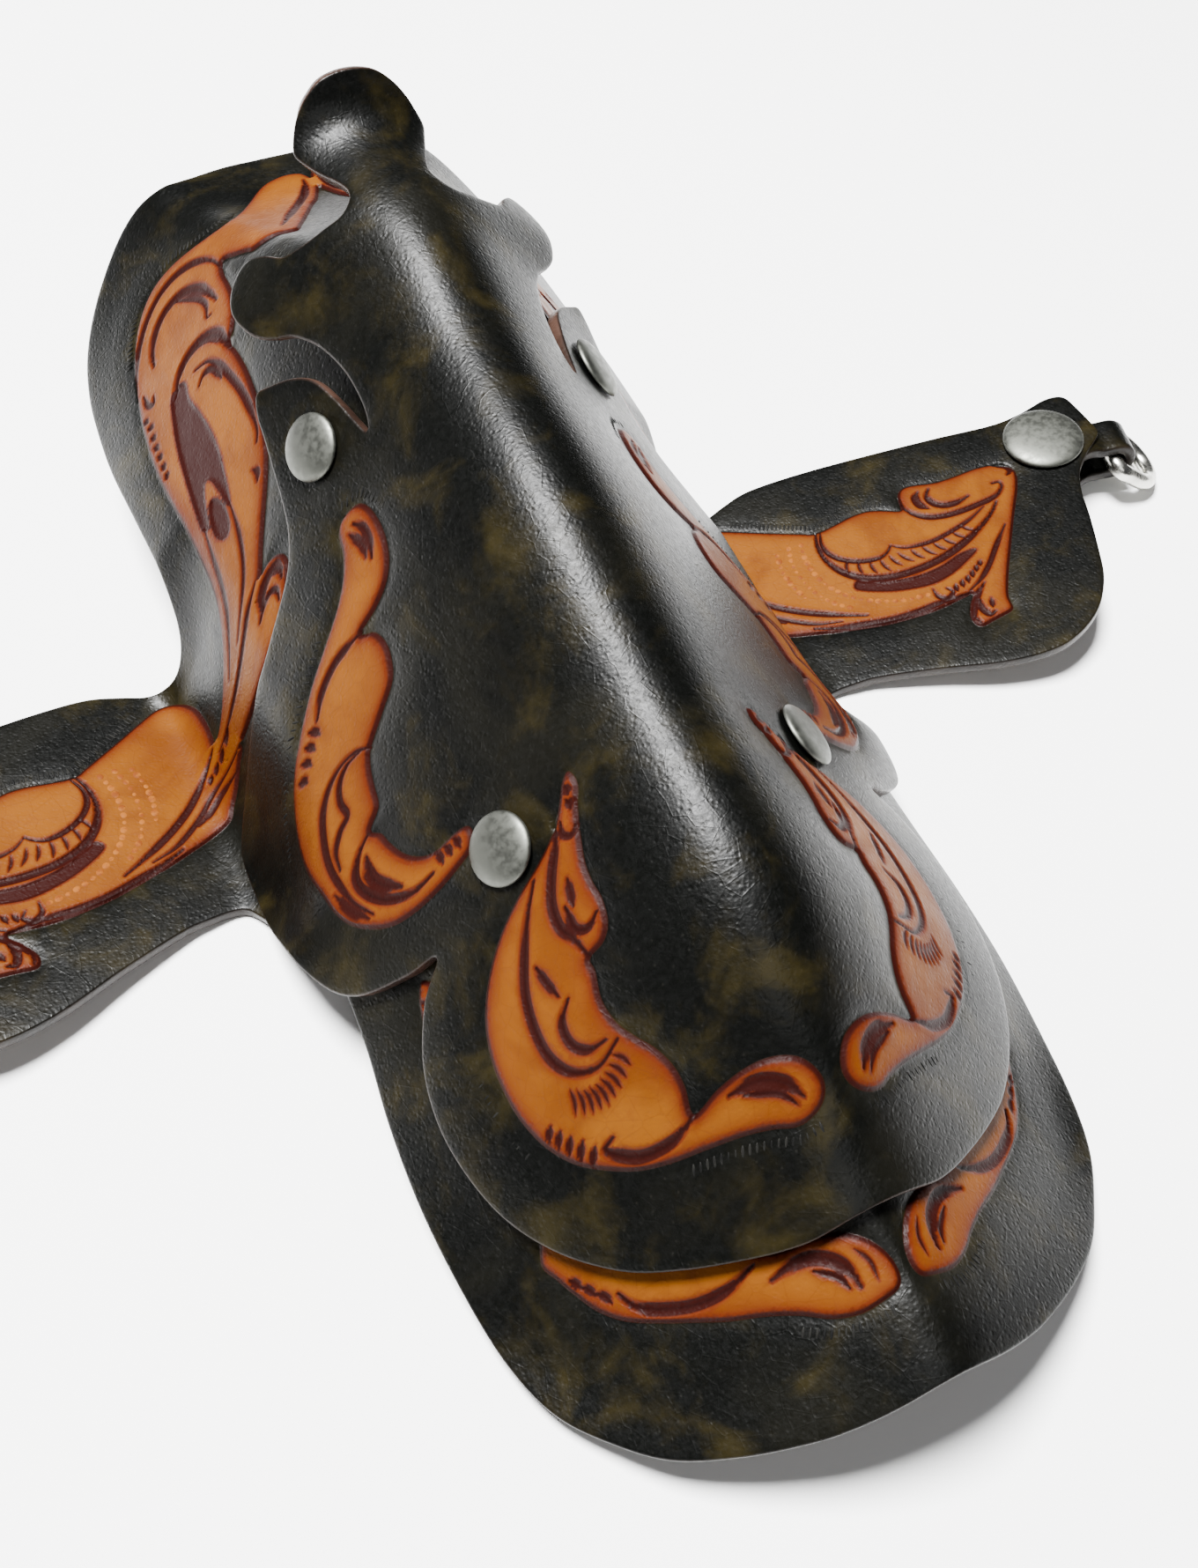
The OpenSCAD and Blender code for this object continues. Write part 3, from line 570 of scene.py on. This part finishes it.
def face_normals_to_points(verts, faces):
    n = np.zeros_like(verts)
    for size in (3, 4):
        f = np.array([q for q in faces if len(q) == size])
        if not len(f):
            continue
        a = verts[f[:, 1]] - verts[f[:, 0]]
        b = verts[f[:, 2]] - verts[f[:, 0]]
        c = np.cross(a, b)
        if size == 4:
            c = c + np.cross(b, verts[f[:, 3]] - verts[f[:, 0]])
        for j in range(size):
            np.add.at(n, f[:, j], c)
    return n / np.maximum(np.linalg.norm(n, axis=1, keepdims=True), 1e-12)


def cut_out(name, keep, verts, faces, marks, normals):
    used = sorted({i for f in keep for i in faces[f]})
    new = {o: i for i, o in enumerate(used)}
    return mesh_piece(name, verts[used], [tuple(new[i] for i in faces[f]) for f in keep],
                      {k: v[used] for k, v in marks.items()}, normals[used])


# ---------------------------------------------------------------- finishes
class Finish:
    def __init__(self, name):
        self.m = bpy.data.materials.new(name)
        self.m.use_nodes = True
        self.t = self.m.node_tree
        self.s = self.t.nodes["Principled BSDF"]
        self.pos = self.add("ShaderNodeTexCoord").outputs["Object"]

    def add(self, kind, **props):
        n = self.t.nodes.new(kind)
        for k, v in props.items():
            setattr(n, k, v)
        return n

    def join(self, a, b):
        self.t.links.new(a, b)

    def noise(self, scale, detail=4, rough=.55, warp=0.0):
        n = self.add("ShaderNodeTexNoise")
        n.inputs["Scale"].default_value = scale
        n.inputs["Detail"].default_value = detail
        n.inputs["Roughness"].default_value = rough
        n.inputs["Distortion"].default_value = warp
        self.join(self.pos, n.inputs["Vector"])
        return n.outputs["Fac"]

    def cells(self, scale, feature="F1"):
        n = self.add("ShaderNodeTexVoronoi", feature=feature)
        n.inputs["Scale"].default_value = scale
        self.join(self.pos, n.inputs["Vector"])
        return n.outputs["Distance"]

    def mark(self, name):
        return self.add("ShaderNodeAttribute", attribute_name=name).outputs["Fac"]

    def span(self, value, a, b, lo=0.0, hi=1.0):
        n = self.add("ShaderNodeMapRange", interpolation_type="SMOOTHSTEP")
        self.join(value, n.inputs["Value"])
        for key, v in (("From Min", a), ("From Max", b), ("To Min", lo), ("To Max", hi)):
            n.inputs[key].default_value = v
        return n.outputs["Result"]

    def math(self, op, a, b):
        n = self.add("ShaderNodeMath", operation=op)
        for i, v in enumerate((a, b)):
            if isinstance(v, (int, float)):
                n.inputs[i].default_value = v
            else:
                self.join(v, n.inputs[i])
        return n.outputs[0]

    def mix(self, share, a, b):
        n = self.add("ShaderNodeMix", data_type="RGBA")
        f, ca, cb = [i for i in n.inputs if i.enabled][:3]
        for sock, v in ((f, share), (ca, a), (cb, b)):
            if isinstance(v, tuple):
                sock.default_value = (*v, 1)
            elif isinstance(v, (int, float)):
                sock.default_value = v
            else:
                self.join(v, sock)
        return [o for o in n.outputs if o.enabled][0]

    def bump(self, height, depth, strength=1.0, before=None):
        n = self.add("ShaderNodeBump")
        n.inputs["Strength"].default_value = strength
        n.inputs["Distance"].default_value = depth
        self.join(height, n.inputs["Height"])
        if before is not None:
            self.join(before, n.inputs["Normal"])
        return n.outputs["Normal"]

    def wear(self, colour=None, rough=None, normal=None, **fixed):
        if colour is not None:
            self.join(colour, self.s.inputs["Base Color"])
        if rough is not None:
            self.join(rough, self.s.inputs["Roughness"])
        if normal is not None:
            self.join(normal, self.s.inputs["Normal"])
        for k, v in fixed.items():
            self.s.inputs[k.replace("_", " ")].default_value = v
        return self.m


def tooled_leather(name, edge_colour):
    f = Finish(name)
    cloud = f.noise(38, 5, .6, .6)
    patch = f.noise(95, 4, .6, .4)
    black = f.mix(f.span(cloud, .44, .66), (.0007, .0008, .0006), (.0024, .0023, .0015))
    black = f.mix(f.math("MULTIPLY", f.span(patch, .46, .80), .50), black, (.0215, .0160, .0038))
    speck = f.span(f.cells(620), .0, .16, 1, 0)
    black = f.mix(f.math("MULTIPLY", speck, .16), black, (.026, .025, .021))
    streak = f.noise(210, 5, .65, 1.2)
    tan = f.mix(f.span(f.noise(75, 4, .55, .5), .35, .68), (.102, .0325, .0025), (.068, .0180, .0013))
    tan = f.mix(f.math("MULTIPLY", f.span(streak, .52, .75), .34), tan, (.064, .0135, .0012))
    veins = f.span(f.cells(330, "DISTANCE_TO_EDGE"), .0, .05, 1, 0)
    tan = f.mix(f.math("MULTIPLY", veins, .16), tan, (.050, .0105, .0012))
    anti = f.mark("antique")
    tan = f.mix(f.span(anti, .0, .38), tan, (.052, .0082, .0014))
    tan = f.mix(f.span(anti, .36, .86), tan, (.0125, .0017, .0011))
    tan = f.mix(f.span(f.mark("deep"), .25, 1.0), tan, (.0025, .0006, .0006))
    colour = f.mix(f.mark("tan"), black, tan)
    cut = f.mark("cut_edge")
    colour = f.mix(f.math("MULTIPLY", cut, .8), colour,
                   f.mix(f.span(f.noise(160, 4), .38, .66), edge_colour, tuple(c * .35 for c in edge_colour)))
    colour = f.mix(f.mark("flesh"), colour,
                   f.mix(f.span(f.noise(420, 5, .7), .35, .7), (.020, .014, .010), (.050, .036, .024)))
    grain = f.cells(1250)
    pores = f.cells(2600)
    wrinkle = f.noise(1150, 5, .65, .8)
    n = f.bump(f.span(grain, .0, .55), .00007, .40)
    n = f.bump(pores, .00004, .35, n)
    n = f.bump(wrinkle, .00004, .3, n)
    n = f.bump(veins, .00004, .25, n)
    rough = f.mix(f.mark("tan"), f.span(wrinkle, .3, .7, .31, .42), f.span(streak, .3, .7, .40, .52))
    f.join(f.span(f.mark("tan"), 0, 1, .12, .05), f.s.inputs["Specular IOR Level"])
    return f.wear(colour, rough, n)


def plated(name, colour, rough, brushed=900, smudge=.12):
    f = Finish(name)
    cloud = f.noise(140, 4, .55, .3)
    fine = f.noise(brushed, 3, .6)
    dark = tuple(c * (1 - smudge * 2.2) for c in colour)
    col = f.mix(f.span(cloud, .38, .68), colour, dark)
    pits = f.span(f.cells(900), .0, .10, 1, 0)
    col = f.mix(f.math("MULTIPLY", pits, .35), col, tuple(c * .45 for c in colour))
    n = f.bump(fine, .00002, .5)
    n = f.bump(cloud, .00012, .25, n)
    return f.wear(col, f.span(fine, .3, .7, rough - .06, rough + .10), n, Metallic=1.0)


black_and_tan = tooled_leather("antiqued tooled leather", (.016, .011, .0085))
seat_finish = tooled_leather("antiqued seat leather", (.040, .021, .015))
nickel_cap = plated("satin nickel cap", (.100, .103, .090), .46, 900, .03)
nickel_back = plated("nickel plated brass", (.44, .44, .41), .30)
dee_finish = plated("rubbed nickel wire", (.60, .59, .54), .22, 600, .16)

# ---------------------------------------------------------------- base leather and wings
SPLIT = 51.3
base_work = tooling(BASE_PANELS, BASE_FILLS, BASE_CUTS, BASE_COMMAS)
verts, faces, marks, plan = leather_sheet(both_sides(BASE_EDGE), base_work, base_face, split=SPLIT)
normals = face_normals_to_points(verts, faces)
middle = np.array([plan[list(f), 0].mean() for f in faces])
sides = {"left_wing_leather": np.nonzero(middle < -SPLIT)[0], "right_wing_leather": np.nonzero(middle > SPLIT)[0]}
base = cut_out("base_sheet", np.nonzero(np.abs(middle) <= SPLIT)[0], verts, faces, marks, normals)
wing_sheets = {k: cut_out(k, v, verts, faces, marks, normals) for k, v in sides.items()}
for ob in [base, *wing_sheets.values()]:
    ob.data.materials.append(black_and_tan)

# ---------------------------------------------------------------- seat leather
seat_work = tooling(SEAT_PANELS, SEAT_FILLS, SEAT_CUTS, SEAT_COMMAS)
verts, faces, marks, plan = leather_sheet(both_sides(SEAT_EDGE), seat_work, seat_face)
seat = mesh_piece("seat_sheet", verts, faces, marks)
seat.data.materials.append(seat_finish)


# ---------------------------------------------------------------- keepers and dee rings
def at_snap(side, p):
    """From the snap's own frame (mm) to the part's frame."""
    p = np.asarray(p, float)
    c, s = math.cos(math.radians(-16)), math.sin(math.radians(-16))
    q = np.column_stack([c * p[:, 0] - s * p[:, 1], s * p[:, 0] + c * p[:, 1], p[:, 2]]) + [63.5, 26.4, 0]
    c, s = math.cos(RISE), math.sin(RISE)
    r = np.column_stack([c * q[:, 0] - s * q[:, 2], q[:, 1], s * q[:, 0] + c * q[:, 2]]) + [FOLD_X, 0, 1.15]
    r[:, 0] *= side
    return r


EYE = np.array([13.6, -4.55])
KEEPER = [(3.4, -.12), (6, -.35), (8.6, -.95), (10.8, -1.6)] + \
    [(EYE[0] + 3.05 * math.cos(math.radians(a)), EYE[1] + 3.05 * math.sin(math.radians(a)))
     for a in range(96, -96, -12)] + [(10.6, -7.6), (7, -7.6), (3, -7.6), (-2, -7.6), (-7.4, -7.6)]


def keeper_strap(side, name):
    """The strap folded round the bar, with rounded edges."""
    mid = smooth_line(KEEPER, .45)
    t = np.gradient(mid, axis=0)
    t /= np.linalg.norm(t, axis=1, keepdims=True)
    nrm = np.column_stack([-t[:, 1], t[:, 0]])
    half = THICK / 2 - .02
    r = .5
    verts, faces, edge = [], [], []
    n = len(mid)
    for i, (p, q) in enumerate(zip(mid, nrm)):
        wide = 3.8 + 2.5 * (1 - ramp(3, 10, p[0])) * 1.0
        if i > n * .62:
            wide = 3.8 + 2.6 * (1 - ramp(3, 10, p[0]))
            wide -= 2.0 * ramp(-5.2, -7.6, p[0]) if p[0] < -5.2 else 0
        loop = [(-wide, half - r), (-wide + .15, half - .15), (-wide + r, half)]
        loop += [(y, half) for y in np.linspace(-wide + 1.2, wide - 1.2, 9)]
        loop += [(wide - r, half), (wide - .15, half - .15), (wide, half - r), (wide, 0), (wide, -half + r),
                 (wide - .15, -half + .15), (wide - r, -half)]
        loop += [(y, -half) for y in np.linspace(wide - 1.2, -wide + 1.2, 9)]
        loop += [(-wide + r, -half), (-wide + .15, -half + .15), (-wide, -half + r), (-wide, 0)]
        for y, z in loop:
            verts.append((p[0] + q[0] * z, y, p[1] + q[1] * z))
            edge.append(1.0 if abs(abs(y) - wide) < .3 else 0.0)
    m = len(loop)
    for i in range(n - 1):
        for j in range(m):
            a, b = i * m + j, i * m + (j + 1) % m
            f = (a, a + m, b + m, b)
            faces.append(f if side < 0 else f[::-1])
    caps = [tuple(range(m)), tuple(reversed(range((n - 1) * m, n * m)))]
    faces += [f if side < 0 else f[::-1] for f in caps]
    zero = np.zeros(len(verts))
    ob = mesh_piece(name, at_snap(side, verts), faces,
                    {"tan": zero, "antique": zero, "deep": zero, "flesh": zero, "cut_edge": np.array(edge) * .7})
    ob.data.materials.append(black_and_tan)
    return ob


def dee(side, name):
    w, leg, bend = 11.4 / 2, 5.8, 2.2
    path = []
    for a in np.linspace(-90, 90, 33):
        path.append((leg + w * math.cos(math.radians(a)), w * math.sin(math.radians(a))))
    path += [(x, w) for x in np.linspace(leg - .6, bend + .5, 5)]
    path += [(bend - bend * math.sin(math.radians(a)), w - bend + bend * math.cos(math.radians(a)))
             for a in np.linspace(0, 90, 9)]
    path += [(0, y) for y in np.linspace(w - bend - .6, -(w - bend) + .6, 9)]
    path += [(bend - bend * math.cos(math.radians(a)), -(w - bend) - bend * math.sin(math.radians(a)))
             for a in np.linspace(0, 90, 9)]
    path += [(x, -w) for x in np.linspace(bend + .5, leg - .6, 5)]
    p = np.array(path)
    t = np.roll(p, -1, 0) - np.roll(p, 1, 0)
    t /= np.linalg.norm(t, axis=1, keepdims=True)
    verts, faces, m, n = [], [], 24, len(p)
    for (x, y), (tx, ty) in zip(p, t):
        for j in range(m):
            a = 2 * math.pi * j / m
            verts.append((x - ty * 1.59 * math.cos(a), y + tx * 1.59 * math.cos(a), 1.59 * math.sin(a)))
    for i in range(n):
        for j in range(m):
            a, b = i * m + j, i * m + (j + 1) % m
            c, d = ((i + 1) % n) * m + (j + 1) % m, ((i + 1) % n) * m + j
            faces.append((a, d, c, b) if side > 0 else (a, b, c, d))
    v = np.array(verts)
    c, s = math.cos(math.radians(32) + RISE), math.sin(math.radians(32) + RISE)
    v = np.column_stack([EYE[0] + c * v[:, 0] + s * v[:, 2], v[:, 1], EYE[1] - s * v[:, 0] + c * v[:, 2]])
    ob = mesh_piece(name, at_snap(side, v), faces)
    ob.data.materials.append(dee_finish)
    return ob


keepers = {s: keeper_strap(d, s + "_keeper_strap") for s, d in (("left", -1), ("right", 1))}
dees = {s: dee(d, s + "_dee_wire") for s, d in (("left", -1), ("right", 1))}


# ---------------------------------------------------------------- caps and stamped marks by geometry nodes
class Tree:
    def __init__(self, name):
        self.g = bpy.data.node_groups.new(name, "GeometryNodeTree")
        self.g.interface.new_socket("Geometry", in_out="INPUT", socket_type="NodeSocketGeometry")
        self.g.interface.new_socket("Geometry", in_out="OUTPUT", socket_type="NodeSocketGeometry")
        self.i = self.g.nodes.new("NodeGroupInput")
        self.o = self.g.nodes.new("NodeGroupOutput")
        self.keys = {}

    def size(self, name, value):
        kind = "NodeSocketInt" if isinstance(value, int) else "NodeSocketFloat"
        s = self.g.interface.new_socket(name, in_out="INPUT", socket_type=kind)
        s.default_value = value
        self.keys[name] = s.identifier
        return self.i.outputs[name]

    def add(self, kind, **links):
        props = links.pop("props", {})
        n = self.g.nodes.new(kind)
        for k, v in props.items():
            setattr(n, k, v)
        for k, v in links.items():
            sock = n.inputs[int(k[1:])] if k[0] == "i" and k[1:].isdigit() else n.inputs[k.replace("_", " ")]
            if isinstance(v, bpy.types.NodeSocket):
                self.g.links.new(v, sock)
            else:
                sock.default_value = v
        return n

    def end(self, geometry, material):
        r = self.add("GeometryNodeRealizeInstances", Geometry=geometry)
        s = self.add("GeometryNodeSetMaterial", Geometry=r.outputs["Geometry"])
        s.inputs["Material"].default_value = material
        self.g.links.new(s.outputs["Geometry"], self.o.inputs[0])


def stand_up(t):
    """Rotation that turns +Z to the stored direction."""
    up = t.add("GeometryNodeInputNamedAttribute", props={"data_type": "FLOAT_VECTOR"}, Name="up")
    return t.add("FunctionNodeAlignRotationToVector", props={"axis": "Z"}, Vector=up.outputs["Attribute"]).outputs[0]


def cap_tree(material):
    t = Tree("domed caps on their points")
    width, rise, rim = t.size("Cap Diameter", .010), t.size("Dome Rise", .0013), t.size("Rim Height", .0005)
    ball = t.add("GeometryNodeMeshUVSphere", Segments=72, Rings=36, Radius=1.0)
    pos = t.add("GeometryNodeInputPosition").outputs[0]
    xyz = t.add("ShaderNodeSeparateXYZ", Vector=pos)
    half = t.add("ShaderNodeMath", props={"operation": "MULTIPLY"}, i0=width, i1=.5).outputs[0]
    grow = t.add("ShaderNodeMath", props={"operation": "POWER"},
                 i0=t.add("ShaderNodeMath", props={"operation": "MAXIMUM"}, i0=xyz.outputs["Z"], i1=0.0).outputs[0], i1=.82)
    top = t.add("ShaderNodeMath", props={"operation": "MULTIPLY"}, i0=grow.outputs[0], i1=rise).outputs[0]
    low = t.add("ShaderNodeMath", props={"operation": "MINIMUM"}, i0=xyz.outputs["Z"], i1=0.0).outputs[0]
    low = t.add("ShaderNodeMath", props={"operation": "MULTIPLY"}, i0=low, i1=rim).outputs[0]
    z = t.add("ShaderNodeMath", props={"operation": "ADD"}, i0=top, i1=low).outputs[0]
    z = t.add("ShaderNodeMath", props={"operation": "ADD"}, i0=z, i1=rim).outputs[0]
    x = t.add("ShaderNodeMath", props={"operation": "MULTIPLY"}, i0=xyz.outputs["X"], i1=half).outputs[0]
    y = t.add("ShaderNodeMath", props={"operation": "MULTIPLY"}, i0=xyz.outputs["Y"], i1=half).outputs[0]
    new = t.add("ShaderNodeCombineXYZ", X=x, Y=y, Z=z).outputs[0]
    dome = t.add("GeometryNodeSetPosition", Geometry=ball.outputs["Mesh"], Position=new)
    smooth = t.add("GeometryNodeSetShadeSmooth", Geometry=dome.outputs["Geometry"])
    pts = t.add("GeometryNodeMeshToPoints", Mesh=t.i.outputs["Geometry"])
    inst = t.add("GeometryNodeInstanceOnPoints", Points=pts.outputs["Points"], Instance=smooth.outputs["Geometry"],
                 Rotation=stand_up(t))
    t.end(inst.outputs["Instances"], material)
    return t


def seed_tree(material):
    t = Tree("pressed seeds and ticks")
    long_, wide, high = t.size("Mark Length", .0010), t.size("Mark Width", .0006), t.size("Mark Height", .00015)
    seed = t.size("Seed", 7)
    ball = t.add("GeometryNodeMeshIcoSphere", Radius=1.0, Subdivisions=2)
    scale = t.add("ShaderNodeCombineXYZ", X=long_, Y=wide, Z=high).outputs[0]
    bead = t.add("GeometryNodeTransform", Geometry=ball.outputs["Mesh"], Scale=scale)
    smooth = t.add("GeometryNodeSetShadeSmooth", Geometry=bead.outputs["Geometry"])
    pts = t.add("GeometryNodeMeshToPoints", Mesh=t.i.outputs["Geometry"])
    turn = t.add("GeometryNodeInputNamedAttribute", props={"data_type": "FLOAT_VECTOR"}, Name="along")
    rot = t.add("FunctionNodeAlignRotationToVector", props={"axis": "X", "pivot_axis": "Z"}, Rotation=stand_up(t),
                Vector=turn.outputs["Attribute"]).outputs[0]
    size = t.add("FunctionNodeRandomValue", props={"data_type": "FLOAT"}, Seed=seed)
    size.inputs[2].default_value, size.inputs[3].default_value = .38, .58
    inst = t.add("GeometryNodeInstanceOnPoints", Points=pts.outputs["Points"], Instance=smooth.outputs["Geometry"],
                 Rotation=rot, Scale=size.outputs[1])
    t.end(inst.outputs["Instances"], material)
    return t


def grown(name, tree, points_mm, up, sizes, along_dir=None):
    me = bpy.data.meshes.new(name + " places")
    me.from_pydata((np.asarray(points_mm) * MM).tolist(), [], [])
    for key, val in (("up", up), ("along", along_dir)):
        if val is not None:
            at = me.attributes.new(key, "FLOAT_VECTOR", "POINT")
            at.data.foreach_set("vector", np.asarray(val, np.float32).ravel())
    src = bpy.data.objects.new(name + " places", me)
    bpy.context.scene.collection.objects.link(src)
    mod = src.modifiers.new("made", "NODES")
    mod.node_group = tree.g
    for k, v in sizes.items():
        mod[tree.keys[k]] = v
    dg = bpy.context.evaluated_depsgraph_get()
    plain = bpy.data.meshes.new_from_object(src.evaluated_get(dg))
    src.modifiers.remove(mod)
    bpy.data.objects.remove(src)
    ob = bpy.data.objects.new(name, plain)
    bpy.context.scene.collection.objects.link(ob)
    return ob


caps = cap_tree(nickel_cap)
cap_pieces = {}
for row, (x, y) in (("front", (20.2, 31.6)), ("rear", (20.4, -34.6))):
    for side, d in (("left", -1), ("right", 1)):
        px, py = np.array([d * x], float), np.array([y], float)
        n = normals_of(lambda a, b: arch_point(SEAT, a, b), px, py)
        p = arch_point(SEAT, px, py) + n * (LAYER + THICK + .03)
        cap_pieces[f"{row}_{side}_rivet_cap"] = grown(f"{row}_{side}_rivet_dome", caps, p, n, {
            "Cap Diameter": .0099, "Dome Rise": .0013, "Rim Height": .0005})
snap_pieces = {}
for side, d in (("left", -1), ("right", 1)):
    p = at_snap(d, [(0, 0, 1.12), (0, 0, 2.12)])
    snap_pieces[side] = grown(side + "_snap_dome", caps, p[:1], p[1:] - p[:1], {
        "Cap Diameter": .0149, "Dome Rise": .0016, "Rim Height": .0005})

def mark_finish(name, grain, light, dark, rough, shine):
    f = Finish(name)
    return f.wear(f.mix(f.span(f.noise(grain), .4, .6), light, dark), f.span(f.noise(700), .3, .7, *rough),
                  f.bump(f.noise(1500), .00003, .5), Specular_IOR_Level=shine)


pale_seed = mark_finish("pale seed marks", 900, (.072, .026, .010), (.040, .014, .006), (.58, .70), .06)
tan_seed = mark_finish("burnished tan beads", 600, (.150, .047, .006), (.090, .022, .003), (.58, .70), .06)
black_tick = mark_finish("rubbed black ticks", 500, (.0012, .0012, .0011), (.006, .0058, .005), (.55, .70), .08)


def seeded_leaf():
    leaf = smooth_line(BASE_FILLS[0][0], .3, True)
    g = hex_grid((30, 43), (38, 72), 1.25)
    g = np.column_stack([g[:, 0] + .25 * np.sin(g[:, 1] * 2.1), g[:, 1]])
    return g[inside(inset(leaf, .45), g)]


WING_BEADS = [[(64.8, 27), (63.8, 24), (63.4, 20.6), (63.8, 17), (65.2, 13.6), (67.2, 11), (70, 8.6), (74, 6.6), (78, 5.6)],
              [(62.4, 27.4), (61.2, 24), (60.8, 20.4), (61.2, 16.6), (62.6, 12.8), (64.8, 10)],
              [(59.8, 27), (58.8, 23.4), (58.6, 19.6), (59.2, 16)]]
TICKS = [[(37.2, 88), (35.4, 91.6), (33, 94.6), (30.4, 95.9), (27.6, 96), (24.2, 94.9), (21.4, 93.3), (18.6, 92.4), (15.8, 92.9),
          (13.8, 95)],
         [(54, 39.9), (57.2, 37.8), (61, 35), (65, 32.4), (68.8, 30.2), (73, 30.2), (79, 30.2), (83.6, 28)],
         [(88.6, 31.4), (92, 30.6), (97, 29.2), (102, 28.8), (106, 27.8)],
         [(42.2, 27.6), (44.4, 25.4)]]
SKIRT_TICKS = [[(13, -100), (10, -102), (6.8, -103.3), (3.4, -103.4)]]
SEAT_TICKS = [[(16, -78.6), (11.4, -79.9), (7.4, -81.4), (4.8, -82.6), (2.6, -82.6)],
              [(20, 21.4), (17.4, 19.6), (16, 15)], [(32.4, -46), (33.2, -54), (32.8, -62), (31.2, -67.4)],
              [(29, 10.6), (33.6, 7), (37.8, 2.8), (40.4, -2), (41.8, -7)]]


def marks_on(name, tree, plan_half, face, sizes, lift=.0, across=False, sides=(-1, 1)):
    """Small pressed marks at plan points; across turns each one square to its row."""
    rows = plan_half if isinstance(plan_half, list) else [plan_half]
    pts, ups, dirs = [], [], []
    for d in sides:
        for row in rows:
            q = row * [d, 1]
            t = np.gradient(q, axis=0) if len(q) > 2 else np.tile([0.0, 1.0], (len(q), 1))
            if across:
                t = np.column_stack([-t[:, 1], t[:, 0]])
            x, y = q[:, 0], q[:, 1]
            p, n = face(x, y), normals_of(face, x, y)
            e = face(x + t[:, 0] * .2, y + t[:, 1] * .2) - p
            pts.append(p + lift * n)
            ups.append(n)
            dirs.append(e / np.linalg.norm(e, axis=1, keepdims=True))
    return grown(name, tree, np.vstack(pts), np.vstack(ups), sizes, np.vstack(dirs))


pale, beads, ticks = seed_tree(pale_seed), seed_tree(tan_seed), seed_tree(black_tick)
TICK = {"Mark Length": .0017, "Mark Width": .00042, "Mark Height": .00028, "Seed": 3}
rows = [smooth_line(l, .75) for l in TICKS]
saddle_marks = [
    marks_on("leaf_seeds", pale, seeded_leaf(), base_face, {"Mark Length": .00085, "Mark Width": .00055,
                                                            "Mark Height": .00022, "Seed": 5}, lift=-.24),
    marks_on("front_border_ticks", ticks, [rows[0], rows[3]], base_face, TICK, lift=-.2, across=True),
    marks_on("skirt_ticks", ticks, [smooth_line(l, .8) for l in SKIRT_TICKS], base_face, TICK,
             lift=-.22, across=True),
    marks_on("seat_ticks", ticks, [smooth_line(l, .8) for l in SEAT_TICKS], seat_face, TICK,
             lift=-.24, across=True)]
wing_marks = {}
for side, d in (("left", -1), ("right", 1)):
    wing_marks[side] = [
        marks_on(side + "_wing_beads", beads, [smooth_line(l, 1.45) for l in WING_BEADS], base_face,
                 {"Mark Length": .0016, "Mark Width": .0014, "Mark Height": .0005, "Seed": 11}, lift=.0, sides=(d,)),
        marks_on(side + "_wing_ticks", ticks, [rows[1][rows[1][:, 0] > 56], rows[2]], base_face, TICK,
                 lift=-.2, across=True, sides=(d,))]

# ---------------------------------------------------------------- what rides on what
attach(base, "saddle")
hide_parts("base_leather")
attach(seat, "saddle")
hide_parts("seat_leather")
for ob in saddle_marks:
    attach(ob, "saddle")
for node, ob in cap_pieces.items():
    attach(ob, "saddle")
    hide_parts(node)
for side, d in (("left", -1), ("right", 1)):
    sheet = wing_sheets[side + "_wing_leather"]
    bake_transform(sheet)
    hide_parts(side + "_wing")
    for ob in (keepers[side], *wing_marks[side], snap_pieces[side]):
        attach(ob, side + "_wing")
    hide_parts(side + "_snap_cap")
    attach(dees[side], side + "_dee")
    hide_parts(side + "_dee_ring")
for node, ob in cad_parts.items():
    if node.endswith(("_post", "_socket", "_stud")):
        ob.data.materials.clear()
        ob.data.materials.append(nickel_back)

# ---------------------------------------------------------------- studio
floor = bpy.data.meshes.new("table")
floor.from_pydata([(-3, -3, 0), (3, -3, 0), (3, 3, 0), (-3, 3, 0)], [], [(0, 1, 2, 3)])
floor_ob = bpy.data.objects.new("table", floor)
bpy.context.scene.collection.objects.link(floor_ob)
f = Finish("white table")
f.s.inputs["Base Color"].default_value = (.97, .97, .965, 1)
f.s.inputs["Roughness"].default_value = .8
floor.materials.append(f.m)


def softbox(name, place, target, size, power, colour=(1, 1, 1)):
    light = bpy.data.lights.new(name, "AREA")
    light.shape, light.size, light.energy, light.color = "DISK", size, power, colour
    ob = bpy.data.objects.new(name, light)
    bpy.context.scene.collection.objects.link(ob)
    ob.location = place
    ob.rotation_euler = (Vector(target) - Vector(place)).to_track_quat("-Z", "Y").to_euler()


softbox("overhead", (-.20, .20, 1.2), (0, 0, 0), .42, 112)
softbox("fill", (-.25, -.9, .95), (0, 0, 0), .6, 3)
world = bpy.data.worlds.new("soft room")
bpy.context.scene.world = world
world.use_nodes = True
world.node_tree.nodes["Background"].inputs["Color"].default_value = (.92, .94, 1, 1)
world.node_tree.nodes["Background"].inputs["Strength"].default_value = .08

lens = bpy.data.cameras.new("camera")
lens.sensor_width = 36
lens.lens = 36 * 1800 / 1780
lens.clip_start = .01
camera = bpy.data.objects.new("camera", lens)
right, up, back = Vector((.8969, -.4403, .0415)), Vector((.3283, .7258, .6045)), Vector((-.2963, -.5285, .7955))
turn = Matrix((right, up, back)).transposed().to_4x4()
camera.matrix_world = Matrix.Translation((-.0684, -.1410, .2061)) @ turn
bpy.context.scene.collection.objects.link(camera)
bpy.context.scene.camera = camera
